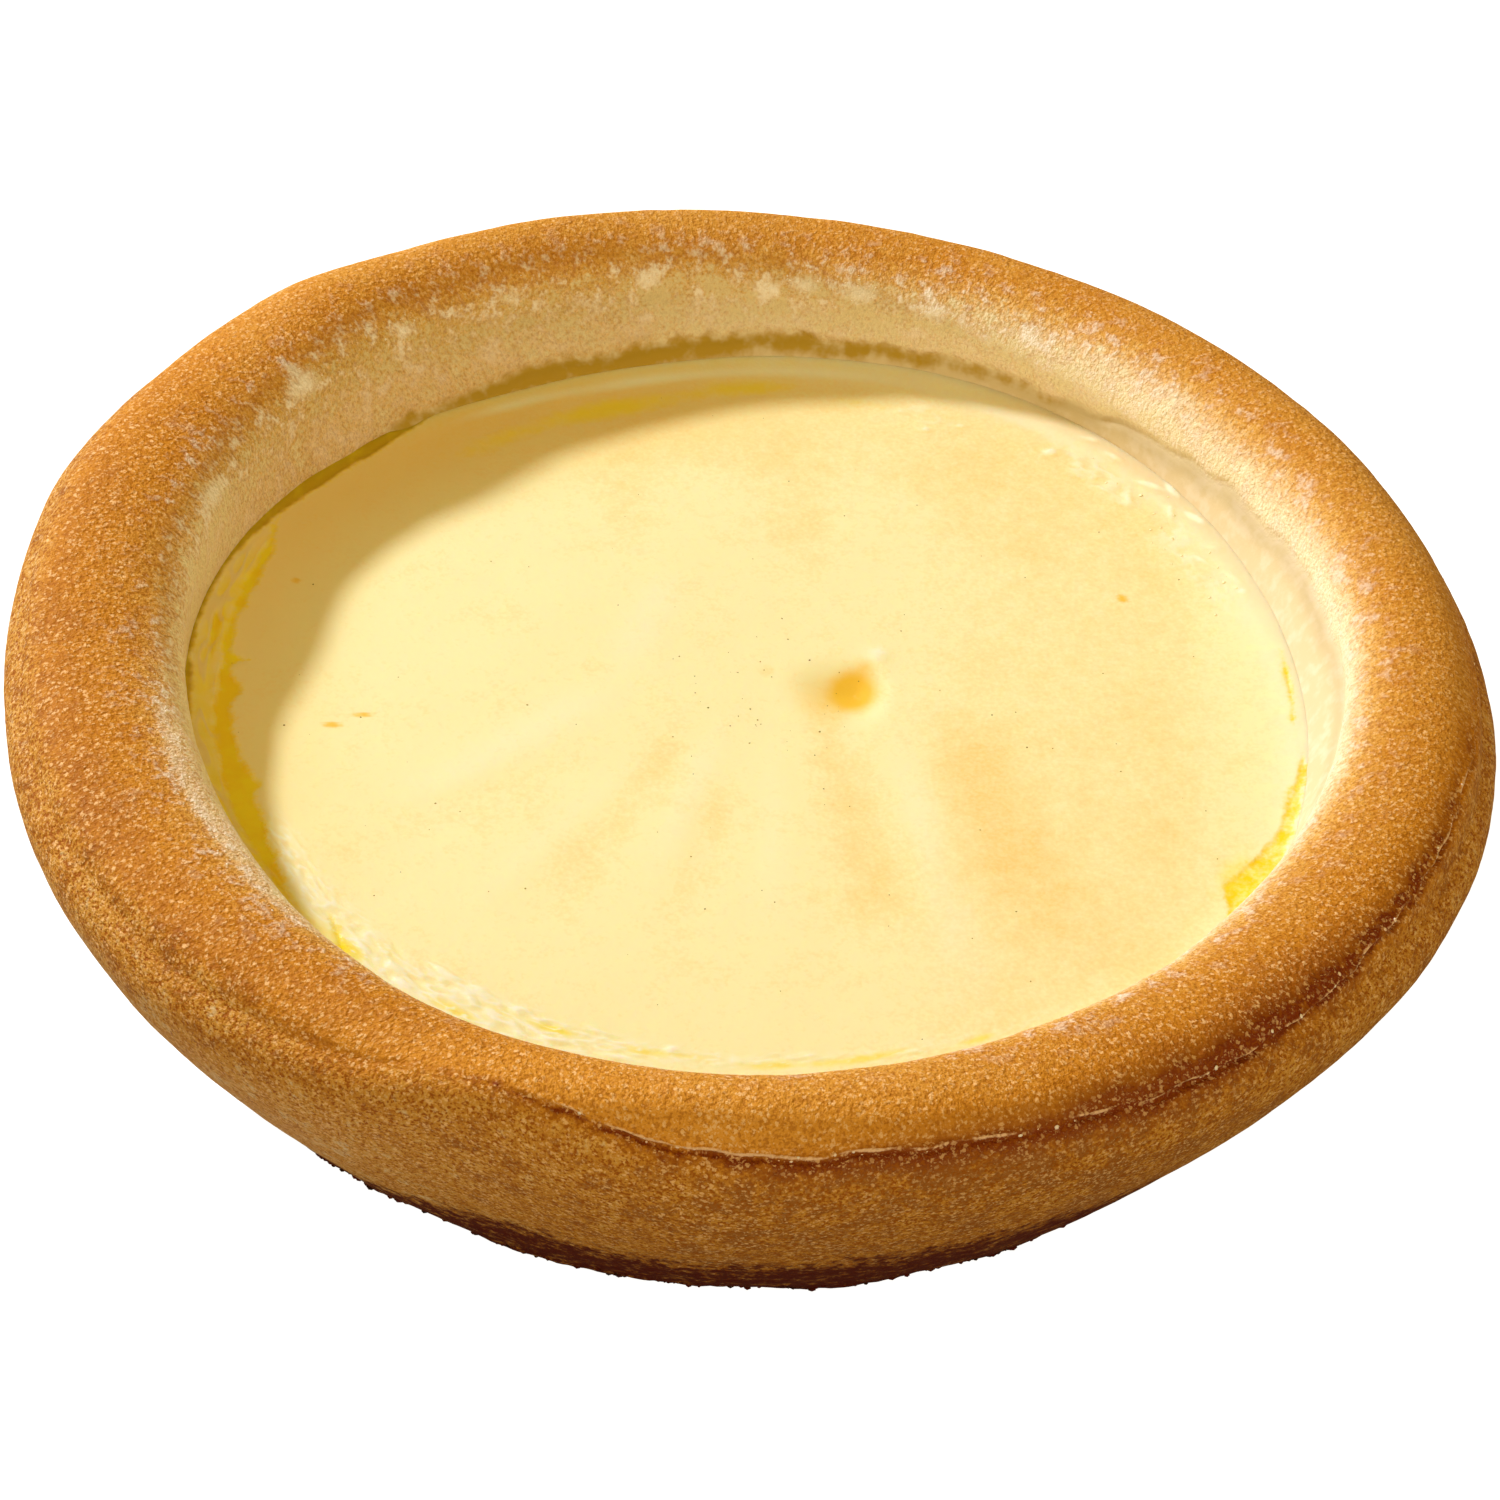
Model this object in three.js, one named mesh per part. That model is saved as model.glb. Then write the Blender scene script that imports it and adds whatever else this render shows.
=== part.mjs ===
import * as THREE from 'three';

// A mini vlaai: a round case of baked yeast dough with a puffed rim, filled with baked custard.
// Millimetres, +Z up, the middle of the flat base at the origin. Angles are in degrees from +X
// towards +Y, and the side that faces -Y is the front.

// Driving dimensions
const RADIUS = 55;
const CREST_HEIGHT = 26.4;
const FILL_HEIGHT = 17.4;
const SEGMENTS = 120;

// Case of dough: foot, flared wall, seam left by the edge of the baking tin, rim and inside
const BASE_RADIUS = RADIUS - 11.8;
const FOOT_ROUND = 1.2;
const FOOT_GROOVE_DEPTH = 0.18;
const WALL_LOW = { out: 4.7, up: 7.1 };
const WALL_HIGH = { out: 5.5, down: 2.6 };
const WALL_STEPS = [0.08, 0.13, 0.24, 0.36, 0.48, 0.6, 0.7, 0.79, 0.87, 0.94];
const FOOT_GROOVE_STEP = 1;
const SEAM_RADIUS = RADIUS - 2.3;
const SEAM_DROP = 2.6;
const SEAM_CREASE = 0.45;
const SEAM_LIP = { out: 0.3, riseShare: 0.18 };
const CREST_RADIUS = RADIUS - 5.9;
const MOUTH_RADIUS = RADIUS - 11.7;
const MOUTH_DROP = 4.3;
const RIM_OUTER_STEPS = [28, 42, 56, 72, 90];
const RIM_INNER_STEPS = [70, 52, 35, 18, 0];
const FILL_EDGE_RADIUS = RADIUS - 13.3;
const FLOOR_RADIUS = RADIUS - 18.5;
const FLOOR_HEIGHT = 5;

// Unevenness around the case, each term as [waves per turn, amount, angle of a high point]
const OUTLINE_WAVES = [[2, 0.91, 25], [3, 0.31, 47], [4, 0.36, -28], [5, 0.51, -1]];
const CREST_WAVES = [[1, 0.27, 172], [2, 0.45, -85], [3, 0.56, 20], [4, 0.47, 17]];
const SEAM_WAVES = [[1, 0.58, -133], [2, 0.44, -80], [3, 0.6, 59]];
const SEAM_RADIUS_WAVES = [[1, 0.27, -131], [2, 0.89, -11]];
const MOUTH_WAVES = [[2, 0.62, 73], [3, 1.11, 17], [4, 0.33, 2]];
const FILL_EDGE_WAVES = [[1, 0.23, -95], [2, 0.69, 28], [3, 0.67, 54], [4, 0.58, -25]];

// Where the seam climbs onto the rim and sags from it, each as [angle, amount, spread]
const SEAM_KINKS = [[-109, 2.3, 9], [-88, -1.15, 10]];

// The seam is sharp from the front left round to the right, and faint elsewhere
const SEAM_ARC = { from: -118, to: 40, fade: 35 };
const SEAM_FAINT = 0.25;

// Custard: a dimple right of the middle, folds that run from it, and a torn skin at the edge
const GAP = 0.3;
const EDGE_RISE = { height: 0.5, width: 0.9 };
const DIMPLE = { x: 6.8, y: 3.2, radius: 4.2, flat: 0.25, depth: 1.7 };
const DIMPLE_LIP = { height: 0.3, out: 1.1, halfWidth: 1.5 };
const DISH = { radius: 15, depth: 0.5 };
const FOLD_ANGLES = [-127, -81, -57];
const FOLD = { depth: 0.22, halfWidth: 14, start: 5, full: 11, end: 34 };
const MOAT = { from: 154, to: 230, fade: 12, radius: 39.7, halfWidth: 1.2, depth: 0.9 };
const TEAR = { from: -24, to: 3, fade: 8, radius: 40.6, halfWidth: 0.9, depth: 0.7 };
const EDGE_INSETS = [0, 0.5, 1, 1.6, 2.2, 2.8, 3.4, 4, 5];
const INNER_SHARES = [0.88, 0.72, 0.56, 0.42, 0.3, 0.21, 0.15, 0.11, 0.07, 0.035, 0];

// Colours and finish
const DOUGH = { color: 0xc4873e, roughness: 0.7 };
const CUSTARD = { color: 0xf8e29c, roughness: 0.45 };

const RAD = THREE.MathUtils.DEG2RAD;
const { lerp, smoothstep, euclideanModulo } = THREE.MathUtils;

// Degrees between two angles, at most 180
function between(angle, other) {
  return Math.abs(euclideanModulo(angle - other + 180, 360) - 180);
}

// 1 at no distance, falling off as a bell curve
function bell(distance, spread) {
  return Math.exp(-((distance / spread) ** 2));
}

// Sum of the waves at an angle
function waves(terms, angle) {
  const heights = terms.map(([count, amount, high]) => amount * Math.cos(count * (angle - high) * RAD));
  return heights.reduce((sum, height) => sum + height, 0);
}

// Sum of the kinks at an angle
function kinks(terms, angle) {
  const heights = terms.map(([at, amount, spread]) => amount * bell(between(angle, at), spread));
  return heights.reduce((sum, height) => sum + height, 0);
}

// 1 inside an arc of angles, falling to 0 over its fade at both ends
function within(angle, { from, to, fade }) {
  const half = (to - from) / 2;
  return 1 - smoothstep(between(angle, from + half), half - fade, half);
}

// 1 in the middle of a groove or ridge, falling to 0 at its half width
function crossing(distance, halfWidth) {
  return 1 - smoothstep(Math.abs(distance), 0, halfWidth);
}

// Radii and heights of the case at an angle
function section(angle) {
  const swell = (RADIUS + waves(OUTLINE_WAVES, angle)) / RADIUS;
  const crestHeight = CREST_HEIGHT + waves(CREST_WAVES, angle);
  const seamHeight = crestHeight - SEAM_DROP + waves(SEAM_WAVES, angle) + kinks(SEAM_KINKS, angle);
  const rise = crestHeight - seamHeight;
  return {
    base: BASE_RADIUS * swell,
    seam: (SEAM_RADIUS + waves(SEAM_RADIUS_WAVES, angle)) * swell,
    seamHeight,
    seamDepth: lerp(SEAM_FAINT, 1, within(angle, SEAM_ARC)) * Math.min(1, rise / SEAM_DROP),
    rise,
    mouth: MOUTH_RADIUS + waves(MOUTH_WAVES, angle),
    mouthHeight: crestHeight - MOUTH_DROP,
    fillEdge: FILL_EDGE_RADIUS + waves(FILL_EDGE_WAVES, angle),
  };
}

// Part of an ellipse about a centre, at the given angles
function ellipse(centreRadius, centreHeight, alongRadius, alongHeight, turns) {
  return turns.map((turn) => [
    centreRadius + alongRadius * Math.cos(turn * RAD),
    centreHeight + alongHeight * Math.sin(turn * RAD),
  ]);
}

// Outer wall from above the foot to below the seam
function wallSection(s) {
  const curve = new THREE.CubicBezierCurve(
    new THREE.Vector2(s.base, 0),
    new THREE.Vector2(s.base + WALL_LOW.out, WALL_LOW.up),
    new THREE.Vector2(s.seam + WALL_HIGH.out, s.seamHeight - WALL_HIGH.down),
    new THREE.Vector2(s.seam, s.seamHeight),
  );
  const points = WALL_STEPS.map((step) => curve.getPoint(step).toArray());
  points[FOOT_GROOVE_STEP][0] -= FOOT_GROOVE_DEPTH;
  return points;
}

// Section of the dough at an angle, from the middle of the base round the outside to the floor
function caseSection(angle) {
  const s = section(angle);
  return [
    [0, 0],
    [s.base - FOOT_ROUND, 0],
    [s.base - FOOT_ROUND * 0.1, FOOT_ROUND * 0.3],
    ...wallSection(s),
    [s.seam - SEAM_CREASE * s.seamDepth, s.seamHeight],
    [s.seam + SEAM_LIP.out * s.seamDepth, s.seamHeight + SEAM_LIP.riseShare * s.rise],
    ...ellipse(CREST_RADIUS, s.seamHeight, s.seam - CREST_RADIUS, s.rise, RIM_OUTER_STEPS),
    ...ellipse(CREST_RADIUS, s.mouthHeight, s.mouth - CREST_RADIUS, MOUTH_DROP, RIM_INNER_STEPS),
    [lerp(s.mouth, s.fillEdge, 0.5), lerp(s.mouthHeight, FILL_HEIGHT, 0.5)],
    [s.fillEdge, FILL_HEIGHT],
    [lerp(s.fillEdge, FLOOR_RADIUS, 0.5), lerp(FILL_HEIGHT, FLOOR_HEIGHT, 0.5)],
    [FLOOR_RADIUS, FLOOR_HEIGHT],
    [0, FLOOR_HEIGHT],
  ];
}

// Dimple with its raised lip, the dish around it and the folds that run out of it
function dimpleRelief(x, y) {
  const away = Math.hypot(x - DIMPLE.x, y - DIMPLE.y);
  const direction = Math.atan2(y - DIMPLE.y, x - DIMPLE.x) / RAD;
  const foldReach = smoothstep(away, FOLD.start, FOLD.full) * (1 - smoothstep(away, FOLD.full, FOLD.end));
  const folds = FOLD_ANGLES.map((at) => crossing(between(direction, at), FOLD.halfWidth));
  return DIMPLE_LIP.height * crossing(away - DIMPLE.radius * DIMPLE_LIP.out, DIMPLE_LIP.halfWidth)
    - DIMPLE.depth * (1 - smoothstep(away, DIMPLE.radius * DIMPLE.flat, DIMPLE.radius))
    - DISH.depth * bell(away, DISH.radius)
    - FOLD.depth * foldReach * Math.max(...folds);
}

// Groove along the edge of the skin
function grooveRelief(groove, radius, angle) {
  return -groove.depth * within(angle, groove) * crossing(radius - groove.radius, groove.halfWidth);
}

// Height of the custard's skin at a place
function skinHeight(x, y) {
  const radius = Math.hypot(x, y);
  const angle = Math.atan2(y, x) / RAD;
  const inset = section(angle).fillEdge - radius;
  return FILL_HEIGHT
    + EDGE_RISE.height * Math.exp(-inset / EDGE_RISE.width)
    + dimpleRelief(x, y)
    + grooveRelief(MOAT, radius, angle)
    + grooveRelief(TEAR, radius, angle);
}

// A point at a radius and height in the direction of an angle
function polar(angle, radius, height) {
  return new THREE.Vector3(radius * Math.cos(angle * RAD), radius * Math.sin(angle * RAD), height);
}

// Points of the dough in one direction
function caseColumn(angle) {
  return caseSection(angle).map(([radius, height]) => polar(angle, radius, height));
}

// Points of the custard in one direction, from its underside up the edge and in to the dimple
function custardColumn(angle) {
  const edge = section(angle).fillEdge - GAP;
  const bottom = FLOOR_HEIGHT + GAP;
  const outer = EDGE_INSETS.map((inset) => polar(angle, edge - inset, 0));
  const middle = new THREE.Vector3(DIMPLE.x, DIMPLE.y, 0);
  const inner = INNER_SHARES.map((share) => middle.clone().lerp(outer[outer.length - 1], share));
  const top = [...outer, ...inner];
  top.forEach((point) => point.setZ(skinHeight(point.x, point.y)));
  return [polar(angle, 0, bottom), polar(angle, FLOOR_RADIUS - GAP, bottom), ...top];
}

// A turned body whose section changes with the angle
function turned(columnAt) {
  const profile = columnAt(0).map((point) => new THREE.Vector2(Math.hypot(point.x, point.y), point.z));
  const geometry = new THREE.LatheGeometry(profile, SEGMENTS);
  const position = geometry.getAttribute('position');
  for (let column = 0; column <= SEGMENTS; column += 1) {
    const points = columnAt((360 * (column % SEGMENTS)) / SEGMENTS);
    points.forEach((p, row) => position.setXYZ(column * profile.length + row, p.x, p.y, p.z));
  }
  geometry.computeVertexNormals();
  return geometry;
}

// A named piece turned from its columns
function piece(name, columnAt, finish) {
  const mesh = new THREE.Mesh(turned(columnAt), new THREE.MeshStandardMaterial({ ...finish, metalness: 0 }));
  mesh.name = name;
  return mesh;
}

const vlaai = new THREE.Group();
vlaai.add(piece('dough_case', caseColumn, DOUGH));
vlaai.add(piece('custard_filling', custardColumn, CUSTARD));

export default vlaai;
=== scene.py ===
"""Mini vlaai: a small open custard tart in a case of baked yeast dough.

The case and the custard are turned about the tart's axis from one section that changes with the
angle, and Geometry Nodes roughen the dough and scatter flour, crumbs and specks. Lengths in the
tables are millimetres, angles are degrees from +X towards +Y, and the side that faces -Y is the
front. An arc is a length along the section of the dough, 0 at the fold between wall and rim and
growing over the rim towards the custard. An inset is a distance in from the edge of the custard.
A band is a place and a spread. A span is where a mask begins to grow and where it is full.
Tables in curly brackets go by angle, or by the name of a noise, a mask or a colour.
"""

import math
from functools import reduce
from types import SimpleNamespace as Values

import bpy
import numpy as np
from mathutils import Matrix, Vector, noise


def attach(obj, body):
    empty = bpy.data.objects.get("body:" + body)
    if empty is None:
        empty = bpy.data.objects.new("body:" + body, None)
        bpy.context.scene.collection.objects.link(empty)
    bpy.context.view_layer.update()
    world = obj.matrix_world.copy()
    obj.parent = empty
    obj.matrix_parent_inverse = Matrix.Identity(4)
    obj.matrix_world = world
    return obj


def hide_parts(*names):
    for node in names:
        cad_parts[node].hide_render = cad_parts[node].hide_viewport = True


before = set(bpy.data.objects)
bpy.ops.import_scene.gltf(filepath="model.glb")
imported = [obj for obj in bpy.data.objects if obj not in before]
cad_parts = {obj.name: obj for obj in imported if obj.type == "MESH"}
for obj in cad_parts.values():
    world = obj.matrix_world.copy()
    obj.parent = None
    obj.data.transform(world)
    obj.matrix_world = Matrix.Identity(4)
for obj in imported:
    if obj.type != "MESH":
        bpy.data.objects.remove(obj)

bl_info = {
    "name": "Mini Vlaai",
    "version": (1, 0, 0),
    "blender": (4, 5, 0),
    "location": "3D View > Sidebar > Vlaai",
    "description": "Builds a small custard tart in a case of baked dough",
    "category": "Object",
}

MM = 0.001
BODY = "root"

# Case of dough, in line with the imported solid. IN is a distance in from the radius, DROP one down from
# the crest. WALL_LOW is out and up from the wall's lower end, WALL_HIGH out and down from its upper one.
RADIUS = 55.0
CREST_HEIGHT = 26.4
FILL_HEIGHT = 17.4
BASE_IN = 11.8
FOOT_ROUND = 1.2
WALL_FROM = 0.08
WALL_LOW = (4.7, 7.1)
WALL_HIGH = (5.5, 2.6)
SEAM_IN = 2.3
SEAM_DROP = 2.6
CREST_IN = 5.9
MOUTH_IN = 11.7
MOUTH_DROP = 4.3
FILL_EDGE_IN = 13.3
FLOOR_IN = 18.5
FLOOR_HEIGHT = 5.0

# Unevenness around the case: waves per turn, amount, angle of a high point
OUTLINE_WAVES = ((2, 0.91, 25), (3, 0.31, 47), (4, 0.36, -28), (5, 0.51, -1))
CREST_WAVES = ((1, 0.27, 172), (2, 0.45, -85), (3, 0.56, 20), (4, 0.47, 17))
SEAM_WAVES = ((1, 0.58, -133), (2, 0.44, -80), (3, 0.6, 59))
SEAM_RADIUS_WAVES = ((1, 0.27, -131), (2, 0.89, -11))
MOUTH_WAVES = ((2, 0.62, 73), (3, 1.11, 17), (4, 0.33, 2))
FILL_EDGE_WAVES = ((1, 0.23, -95), (2, 0.69, 28), (3, 0.67, 54), (4, 0.58, -25))

# Single swells around the case: angle, amount, spread
SEAM_KINKS = ((-109, 2.3, 9), (-88, -1.15, 10))
CREST_SWELLS = ((139, 0.7, 7), (169, 0.8, 8), (193, -0.45, 8))

# Ragged lines: amount, fewest and most waves per turn, seed
SEAM_RAGGED = (0.16, 20, 120, 3)
SEAM_BREAKS = (0.45, 14, 90, 4)
FILM_RAGGED = (0.18, 12, 70, 12)
CHAR_RAGGED = (0.5, 20, 110, 16)
WRINKLE_WANDER = (0.5, 5, 25, 22)
RAGGED_WAVES = 14

# Mesh of the case: rows of its first path, columns around, rows up the wall, over seam and rim
PATH_ROWS = Values(wall=90, outer=34, inner=44, throat=18)
PATH_STEPS = 700
PATH_SOFTNESS = 0.3
CASE_COLUMNS = 640
WALL_ROWS = 44
SEAM_ROWS = 42
RIM_ROWS = 48
SEAM_ZONE = (-1.3, 3.4)

# Rings under the base, steps round the foot, and the corner that rounds it
UNDER_SHARES = (0.3, 0.6, 0.85)
FOOT_SHARES = (0.0, 0.22, 0.45, 0.7)
HEEL = Values(inset=0.05, lift=0.02)

# Frame of the crust's grain: its radius, its stretch on rim and wall, its steps under and inside
GRAIN = Values(radius=RADIUS - 5.0, rim=0.95, wall=1.1, under=2.0, bed=3.0)

# Share of the dough's relief that froth adds, that the film hides and that the ragged foot adds
RELIEF = Values(froth=0.6, film=0.6, foot=4.0)
RELIEF_SEED = 2.0

# The torn line that the edge of the tin left: its arc and its strength
SEAM_LINE = {
    -180: 2.8, -145: 3, -131: 2.6, -118: 0.3, -105: 0.5, -92: -0.1, -76: -0.55, -58: -0.3, -50: 0, -40: 0.9,
    -30: 1.9, -10: 2.7, 0: 1.8, 12: 1, 120: 1.2,
}
SEAM_STRENGTH = {
    -180: 0.08, -131: 0.1, -106: 0.08, -102.5: 0.5, -98: 0.9, -76: 0.8, -70: 0.55, -45: 0.9, -10: 0.8,
    14: 0.25, 120: 0.2,
}
SEAM_MEAN = 0.85
SEAM_LIMITS = (0.05, 1.2)
SEAM_CREASE = Values(depth=0.34, below=0.22, width=0.2)
SEAM_LIP = Values(height=0.24, above=0.08, width=0.12)

# Arc at which the crust gives way to pale dough
PALE_FROM = {
    -180: 11.8, -145: 10.8, -125: 9.8, -60: 10.6, -25: 12.6, 0: 11.8, 15: 11.2, 30: 10.4, 50: 9.5, 75: 9.3,
    105: 9.3, 130: 10.4, 155: 11.6,
}

# Browning: what the rim's outer side and the wall have on top, and what the inner side has, partly painted
# shade at the back
OUTER_BROWN = {
    -180: 0.1, -165: 0.1, -140: 0.14, -120: 0.12, -105: 0.05, -90: -0.03, -75: -0.03, -45: 0.12, -30: 0.09,
    -15: -0.02, 0: -0.09, 20: -0.1, 60: -0.01, 100: -0.1, 135: -0.08, 150: 0.05, 165: 0.1,
}
WALL_BROWN = {
    -180: -0.04, -150: -0.12, -135: -0.16, -120: -0.1, -105: 0.04, -90: 0.2, -75: 0.24, -55: 0.26,
    -45: 0.18, -20: 0.22, 0: 0.24, 60: 0.06, 150: 0.02,
}
INNER_BROWN_AND_SHADE = {-60: 0, 20: 0, 60: 0.05, 90: 0.1, 105: 0.15, 120: 0.25, 150: 0.26, 170: 0.08, 220: 0}

# Painted light above the torn line, painted shade near that line and its arc from it, more pale specks on
# the wall
PAINTED_LIGHT = {-150: 0, -125: 0.25, -110: 0.4, -98: 0.75, -88: 0.8, -75: 0.35, -60: 0.1, -45: 0}
SEAM_SHADE = {
    -100: (0, -2), -90: (0.35, -2), -75: (1.15, -1.4), -60: (1.2, -0.4), -45: (0.75, 0.4), -30: (0.3, 0.6),
    -15: (0.25, 0.5), 5: (0.05, 0), 20: (0, 0),
}
FROST = {-175: 0, -150: 1, -125: 1, -105: 0.3, -85: 0}

# How far the torn edge shows, froth on the rim, painted shade and a duller tone at the back of the inner
# side, strength of all specks
TORN_SHOW = {-85: 1, -60: 0.75, -40: 0.6, -25: 0.7, -10: 0.75, 10: 0.7, 25: 0.5}
FROTH = {-180: 1, -60: 1, -30: 0.55, 40: 0.6, 70: 1, 150: 1}
SHADED_OLIVE = {-175: 0, 50: 0, 70: 0.3, 85: 0.5, 120: 0.72, 145: 0.72, 165: 0.35}
GRAINY = {-180: 1, -30: 1, 5: 0.9, 40: 0.8, 90: 0.75, 130: 0.8, 160: 0.95}

# Scorching and painted shade beside the torn line: the side of the line that it lies on, and how strong it
# is
SCORCH_AND_SHADE_SIDE = {-115: -0.6, -70: -0.6, -58: 0.7, -5: 0.7, 20: 0.6, 180: -0.6}
SCORCH_AND_SHADE_STRENGTH = {-180: 0, -112: 0.1, -102: 0.8, -75: 1, -50: 1.3, -25: 0.9, -5: 0.4, 20: 0.2, 60: 0.1}
SCORCH_AND_SHADE = Values(offset=0.75, spread=0.6)

# Burning: height of the burnt band at the foot, and arc at which the wall begins to darken
CHAR_BAND = {-180: 1.4, -115: 1.6, -95: 2.4, -80: 3.2, -50: 3.8, -25: 3.2, 5: 2.6, 30: 1.6, 60: 1.4}
CHAR_EDGE = {
    -180: -23, -140: -22, -125: -19, -105: -16.5, -85: -14.5, -58: -12.5, -20: -15, 5: -17.5, 40: -21,
    140: -23,
}

# Film of custard on the inner wall: arc of its upper edge
FILM_FROM = {
    -180: 21, -60: 21, -20: 15.2, -2: 14.3, 11: 14.6, 25: 14.1, 39: 14, 50: 14.5, 60: 14.9, 66: 14.6,
    76: 14.5, 93: 14.3, 111: 15.8, 124: 16.8, 134: 18.2, 150: 21,
}

# Amber in the film, partly painted shade where the custard meets the wall: amount, place and spread below
# its edge, amount of a second line
FILM_AMBER = {
    -20: 0, 25: 0, 45: 0.1, 60: 0.3, 75: 0.8, 95: 0.9, 110: 1, 128: 0.9, 145: 0.6, 165: 0.4, 200: 0.4,
    280: 0,
}
AMBER_BAND = {
    -180: (0.4, 0.8), 40: (0.2, 0.5), 60: (0.3, 0.55), 92: (0.5, 0.9), 103: (0.8, 1.3), 112: (0.9, 1.3),
    125: (0.7, 1), 140: (0.5, 0.8),
}
AMBER_LINE = {42: 0, 50: 0.5, 60: 0.9, 75: 0.8, 90: 0.5, 100: 0}

# Crease at the upper edge of the film: depth and width, and the shade painted into it
FILM_CREASE = (0.32, 0.45)
CREASE_SHADE = {-35: 0, -10: 0.2, 10: 0.35, 40: 0.45, 60: 0.3, 80: 0.1, 150: 0}

# Bands of colour on the case
BAND = Values(
    outer=(3.5, 3.0), ember=(1.6, 3.2), froth=(0.2, 3.5), torn=(0.06, 0.15), split=(-0.3, 0.25),
    line=(2.5, 0.5), crease=(0.5, 1.0), crumbs=(0.0, 0.22),
)
# Spread of the painted shade near the torn line
SEAM_SHADE_SPREAD = 2.6

# Spans of the masks of the case
SPAN = Values(
    pale=(-3.4, 3.0), wall=(-7.0, -1.0), below=(-2.5, 0.0), dark=(-6.0, 3.0), burnt=(0.5, 1.1),
    ember=(-0.4, 0.3), olive=(-1.5, 1.0), olive_end=(2.0, 5.0), film=(-0.2, 0.6), film_low=(0.6, 3.6),
    plain=(-0.5, 0.4), amber=(0.0, 1.0), crumbs=(-120, -75), scar=(0.3, 1.0), relief=(0.2, 1.5),
    foot=(0.2, 0.6), foot_end=(1.5, 3.0),
)

# Strength of the masks of the case
SHARE = Values(
    crust=0.57, dusk=0.33, scorch=0.95, split=0.7, dark=0.8, olive_end=0.5, plain=0.9, amber=0.15,
    torn=1.2, crumbs=0.7,
)

# White flour on the inner side of the rim: angle, arc, half angle, half arc, amount
FLOUR_PATCHES = (
    (165.8, 12.4, 4, 1.3, 1), (146.8, 11.4, 3.2, 1.5, 1), (-158, 10.6, 9, 1.3, 0.55),
    (-146, 10.3, 10, 1.3, 0.65), (-134, 9.4, 8, 1.2, 0.5), (104.8, 9.8, 2.2, 1.2, 0.9),
    (92, 10.4, 2, 1.4, 1), (88, 9.8, 2.2, 1.1, 0.9), (82, 10, 2.6, 1.2, 1), (74, 10.6, 2.2, 1.3, 0.8),
    (63, 10.4, 2.6, 1.2, 0.8), (54, 9.9, 2, 0.9, 0.5), (45, 9.8, 4, 1, 0.6), (28, 9.4, 4, 1, 0.4),
    (15, 9.6, 3, 0.8, 0.25), (-8, 12, 6, 0.7, 0.25), (-40, 10.6, 10, 0.5, 0.22), (120, 10.2, 3, 1.2, 0.6),
    (133, 11, 3, 1.2, 0.6),
)
PATCH_EDGE = (0.0, 1.3)

# Dents and scratches in the crust: angle, arc, half width, half height, turn, depth (below 0 a ridge)
SCARS = (
    (-92.2, -5.3, 0.5, 1.1, 35, 0.3), (-97, -3.2, 0.35, 0.8, 10, 0.22), (-65, -3.4, 0.8, 0.6, 0, 0.28),
    (-31.4, -1.6, 0.45, 1.9, 6, 0.32), (-51.2, 1.2, 0.7, 0.45, 20, -0.3),
    (-131.8, 2.65, 1.9, 0.16, -14, -0.14), (-94.6, -0.7, 0.12, 0.5, -35, -0.2),
    (-84, -2.6, 0.5, 0.12, 15, -0.12), (-110, -9, 0.9, 0.5, 0, 0.22),
)

# Climb of the custard up the wall: height and reach, and the span over which it ends
CLIMB = {
    -180: (0.35, 0.8), -130: (0.4, 0.8), -60: (0.5, 0.9), -25: (0.6, 1.4), 0: (0.9, 2.2), 40: (0.9, 2.3),
    70: (0.9, 1.9), 100: (0.8, 1.5), 130: (0.5, 1.2), 155: (0.4, 0.8),
}
CLIMB_END = (0.0, 2.5)

# Gap under the custard, how far it goes into the wall, and how it tucks in below its edge
GAP = 0.3
EMBED = 0.4
TUCK = Values(inset=0.1, drop=0.8)

# Dried custard at the edge: amount, and its reach
FILM_SHOW = {-180: 0, -110: 0.1, -60: 0.3, -25: 0.35, -5: 0.8, 45: 1, 65: 0.8, 90: 0.5, 110: 0.2, 160: 0}
FILM_REACH = (-0.5, 5.5)

# The dimple with its orange stain and painted shade, its knob with a painted highlight, and the dish around
# it
DIMPLE_CENTRE = (7.7, 2.5)
DIMPLE_REACH = Values(right=2.9, left=5.6, up=4.0, down=4.2)
DIMPLE_DEPTH = 0.62
DIMPLE_SPAN = (-0.15, 1.1)
DIMPLE_STAIN_AND_SHADE = Values(x=7.8, y=2.9, half=(2.1, 2.7), edge=(0.1, 1.35))
DIMPLE_TONGUE = Values(x=8.5, y=5.5, spread=0.8, amount=0.3)
DIMPLE_SHADE = Values(x=5.6, y=1.5, half=(4.0, 5.6), spread=0.6, amount=0.55)
KNOB = Values(x=9.3, y=6.8, spread=0.9, height=0.12)
DISH = Values(x=6.8, y=3.2, spread=15.0, depth=0.45)
SPECK_CLUSTER = Values(x=0.0, y=0.0, spread=5.5, least=0.06, span=(2.0, 5.0))

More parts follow.
